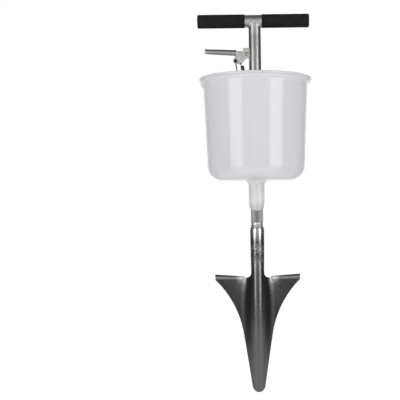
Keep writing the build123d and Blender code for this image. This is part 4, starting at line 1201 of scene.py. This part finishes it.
def slant_neck(piece, sizes):
    """Cuts the neck's end at a slant, closes it and rounds its outer edge."""
    on_plane = Vector((0, 0, sizes.neck_end_z))
    upwards = Vector((0, -sin(sizes.neck_slope), cos(sizes.neck_slope)))
    work_on(piece, "EDIT")
    select("FACE", lambda face: hypot(*face.calc_center_median().xy) < sizes.neck_radius + NEAR)
    bpy.ops.mesh.bisect(plane_co=on_plane, plane_no=upwards, clear_inner=True)
    select("EDGE", lambda edge: edge.is_boundary)
    bpy.ops.mesh.bridge_edge_loops()

    def outer_end(edge):
        return all(abs((vert.co - on_plane).dot(upwards)) < MERGE
                   and hypot(*vert.co.xy) > POST_RADIUS + sizes.neck_fit + MERGE for vert in edge.verts)

    select("EDGE", outer_end)
    bpy.ops.mesh.bevel(offset=sizes.neck_end_round, segments=5, affect="EDGES", profile=0.5)
    close_up(piece)


def lip_barrel(name, sizes, inset, top):
    """Round channel that slopes out under the left of the rim, cut off inside the rim's edge."""
    foot_z = sizes.rim_z - sizes.lip_drop
    run = 0.045
    work_on(None)
    bpy.ops.mesh.primitive_cylinder_add(vertices=72, radius=sizes.lip_radius - inset, depth=2 * run,
                                        location=(sizes.lip_radius, 0, 0))
    barrel = added(name)
    slope = Matrix.Translation((-wall_radius(sizes, foot_z), 0, foot_z))
    turn_into_place(barrel, slope @ Matrix.Rotation(-sizes.lip_tilt, 4, "Y"))
    reach = wall_radius(sizes, sizes.rim_z) + sizes.rim_reach - sizes.rim_undercut - inset
    work_on(None)
    bottom = sizes.rim_z - run
    bpy.ops.mesh.primitive_cylinder_add(vertices=2 * sizes.sides, radius=reach, depth=top - bottom,
                                        location=(0, 0, (top + bottom) / 2))
    keep = added(f"{name}_room")
    combine(barrel, "INTERSECT", keep)
    return barrel


def pouring_lip(piece, sizes):
    """Joins the lip's channel to the wall and opens it to the inside."""
    above = sizes.rim_z + sizes.wall
    outside = lip_barrel("lip_outside", sizes, 0, sizes.rim_z - sizes.rim_height / 2)
    work_on(None)
    below = sizes.rim_z - 0.09
    bpy.ops.mesh.primitive_cone_add(
        vertices=2 * sizes.sides, radius1=wall_radius(sizes, below) - sizes.wall / 2,
        radius2=wall_radius(sizes, above) - sizes.wall / 2, depth=above - below,
        location=(0, 0, (above + below) / 2))
    inside = added("lip_inside")
    combine(outside, "DIFFERENCE", inside)
    combine(piece, "UNION", outside)
    combine(piece, "DIFFERENCE", lip_barrel("lip_channel", sizes, sizes.wall, above))


def make_hopper(settings):
    sizes = settings.hopper
    outline, rounds, cuts = bucket_outline(sizes)
    piece = lathe("hopper_shell", outline, sizes.sides, rounds, cuts)
    slant_neck(piece, sizes)
    pouring_lip(piece, sizes)
    smooth(piece, crease=radians(40))
    dress(piece, "frame", "milky_plastic", "hopper")


# Stage

def seen_rays(tree):
    """1 for what the camera, a mirror or clear plastic shows, and 0 for light that falls on the tool."""
    rays = put(tree, "ShaderNodeLightPath").outputs
    mirrored = reckon("MAXIMUM", rays["Is Glossy Ray"], rays["Is Transmission Ray"])
    return reckon("MAXIMUM", rays["Is Camera Ray"], mirrored)


def studio_floor(settings):
    """Pale floor that the camera and the metal see as white, with the tool's soft shadow."""
    work_on(None)
    level = CAD_BOX[0].z - 0.0005
    bpy.ops.mesh.primitive_plane_add(size=settings.studio.floor_size, location=(0, 0, level))
    floor = added("floor")
    material = bpy.data.materials.new("pale_floor")
    tree = bare_tree(material)
    matte = put(tree, "ShaderNodeBsdfDiffuse", {"Color": grey(0.34)})
    glow = put(tree, "ShaderNodeEmission", {"Color": settings.finishes.backdrop, "Strength": 0.82})
    white = put(tree, "ShaderNodeAddShader", {0: matte.outputs[0], 1: glow.outputs[0]})
    plain = put(tree, "ShaderNodeBsdfDiffuse", {"Color": grey(0.88)})
    shaders = {"Fac": seen_rays(tree), 1: plain.outputs[0], 2: white.outputs[0]}
    either = put(tree, "ShaderNodeMixShader", shaders)
    put(tree, "ShaderNodeOutputMaterial", {"Surface": either.outputs[0]})
    floor.data.materials.append(material)


def studio_world(settings):
    """White backdrop; metal also sees the dimmer room on the camera's side."""
    world = bpy.data.worlds.new("studio")
    bpy.context.scene.world = world
    tree = bare_tree(world)
    tone = settings.finishes.backdrop
    axes = axes_of(put(tree, "ShaderNodeTexCoord").outputs["Generated"])
    walls = ramp(spread(axes["Y"], -1.0, 1.0, 0.0, 1.0), (0.0, grey(0.52)), (0.30, grey(0.15)),
                 (0.895, grey(0.10)), (0.98, tone))
    room = blend_tones(rise(axes["Z"], 0.24, 0.65, 0.85), walls, grey(0.06))
    mirrored = put(tree, "ShaderNodeLightPath").outputs["Is Glossy Ray"]
    shown = blend_tones(mirrored, tone, room)
    fill = put(tree, "ShaderNodeBackground", {"Color": tone, "Strength": settings.studio.fill})
    backdrop = put(tree, "ShaderNodeBackground", {"Color": shown, "Strength": 1.0})
    shaders = {"Fac": seen_rays(tree), 1: fill.outputs[0], 2: backdrop.outputs[0]}
    either = put(tree, "ShaderNodeMixShader", shaders)
    put(tree, "ShaderNodeOutputWorld", {"Surface": either.outputs[0]})


def softbox(name, direction, level, width, height, power, distance):
    """Upright area lamp that faces the post."""
    data = bpy.data.lights.new(name, "AREA")
    data.shape = "RECTANGLE"
    data.size = width
    data.size_y = height
    data.energy = power
    lamp = linked(name, data)
    lamp.location = (distance * sin(direction), -distance * cos(direction), level)
    lamp.rotation_euler = Euler((pi / 2, 0, direction), "XYZ")
    return lamp


def studio_lamps(settings):
    studio = settings.studio
    for name, direction in (("left_softbox", studio.softbox_left), ("right_softbox", studio.softbox_right)):
        softbox(name, direction, studio.softbox_z, studio.softbox_width, studio.softbox_height,
                studio.softbox_power, studio.softbox_distance)
    top = softbox("top_softbox", 0.0, studio.top_z, studio.top_size, studio.top_size, studio.top_power,
                  studio.top_distance)
    top.rotation_euler = Euler((studio.top_tilt, 0, 0), "XYZ")
    back = softbox("back_softbox", pi, studio.back_z, studio.softbox_height, studio.softbox_height,
                   studio.back_power, studio.softbox_distance)
    for lamp in (top, back):
        lamp.visible_glossy = False


def studio_camera(settings):
    studio = settings.studio
    data = bpy.data.cameras.new("camera")
    data.lens = studio.lens
    data.sensor_width = 36.0
    data.shift_x = studio.shift_x
    data.shift_y = studio.shift_y
    camera = linked("camera", data)
    camera.location = (0, -studio.distance, studio.height)
    camera.rotation_euler = Euler((pi / 2, studio.roll, 0), "XYZ")
    bpy.context.scene.camera = camera


def make_stage(settings):
    studio_floor(settings)
    studio_world(settings)
    studio_lamps(settings)
    studio_camera(settings)
    bpy.context.scene.view_settings.view_transform = "Standard"


# Operators and panel

class APPLICATOR_OT_finishes(bpy.types.Operator):
    """Make the materials and give each solid that stays in view its own"""
    bl_idname = "applicator.finishes"
    bl_label = "Finishes"

    def execute(self, context):
        make_finishes(context.scene.applicator)
        finish_nodes()
        return {"FINISHED"}


class APPLICATOR_OT_grips(bpy.types.Operator):
    """Model the two foam grips"""
    bl_idname = "applicator.grips"
    bl_label = "Grips"

    def execute(self, context):
        make_grips(context.scene.applicator)
        return {"FINISHED"}


class APPLICATOR_OT_welds(bpy.types.Operator):
    """Model the rippled weld beads"""
    bl_idname = "applicator.welds"
    bl_label = "Welds"

    def execute(self, context):
        make_welds(context.scene.applicator)
        return {"FINISHED"}


class APPLICATOR_OT_plates(bpy.types.Operator):
    """Break the edges of the lever's plates"""
    bl_idname = "applicator.plates"
    bl_label = "Lever plates"

    def execute(self, context):
        make_plates(context.scene.applicator)
        return {"FINISHED"}


class APPLICATOR_OT_spade(bpy.types.Operator):
    """Press the spade's wings and trim its shoulders"""
    bl_idname = "applicator.spade"
    bl_label = "Spade"

    def execute(self, context):
        make_spade(context.scene.applicator)
        return {"FINISHED"}


class APPLICATOR_OT_lever(bpy.types.Operator):
    """Model the hand lever's tube"""
    bl_idname = "applicator.lever"
    bl_label = "Hand lever"

    def execute(self, context):
        make_lever(context.scene.applicator)
        return {"FINISHED"}


class APPLICATOR_OT_spring(bpy.types.Operator):
    """Wind the return spring"""
    bl_idname = "applicator.spring"
    bl_label = "Return spring"

    def execute(self, context):
        make_spring(context.scene.applicator)
        return {"FINISHED"}


class APPLICATOR_OT_hopper(bpy.types.Operator):
    """Model the moulded hopper"""
    bl_idname = "applicator.hopper"
    bl_label = "Hopper"

    def execute(self, context):
        make_hopper(context.scene.applicator)
        return {"FINISHED"}


class APPLICATOR_OT_stage(bpy.types.Operator):
    """Set up floor, backdrop, lamps and camera"""
    bl_idname = "applicator.stage"
    bl_label = "Stage"

    def execute(self, context):
        make_stage(context.scene.applicator)
        return {"FINISHED"}


OPERATORS = (
    APPLICATOR_OT_finishes,
    APPLICATOR_OT_grips,
    APPLICATOR_OT_welds,
    APPLICATOR_OT_plates,
    APPLICATOR_OT_spade,
    APPLICATOR_OT_lever,
    APPLICATOR_OT_spring,
    APPLICATOR_OT_hopper,
    APPLICATOR_OT_stage,
)


class APPLICATOR_PT_panel(bpy.types.Panel):
    """Lists the applicator's pieces"""
    bl_idname = "APPLICATOR_PT_panel"
    bl_label = "Applicator"
    bl_space_type = "VIEW_3D"
    bl_region_type = "UI"
    bl_category = "Applicator"

    def draw(self, context):
        for operator in OPERATORS:
            self.layout.operator(operator.bl_idname)


CLASSES = (
    GripSettings, HopperSettings, SpringSettings, LeverSettings, WeldSettings, SpadeSettings,
    FinishSettings, StudioSettings, ApplicatorSettings, *OPERATORS, APPLICATOR_PT_panel,
)


def register():
    for one in CLASSES:
        bpy.utils.register_class(one)
    bpy.types.Scene.applicator = PointerProperty(type=ApplicatorSettings)


def unregister():
    del bpy.types.Scene.applicator
    for one in reversed(CLASSES):
        bpy.utils.unregister_class(one)


def main():
    register()
    for operator in OPERATORS:
        group, name = operator.bl_idname.split(".")
        getattr(getattr(bpy.ops, group), name)()
    work_on(None)


if __name__ == "__main__":
    main()
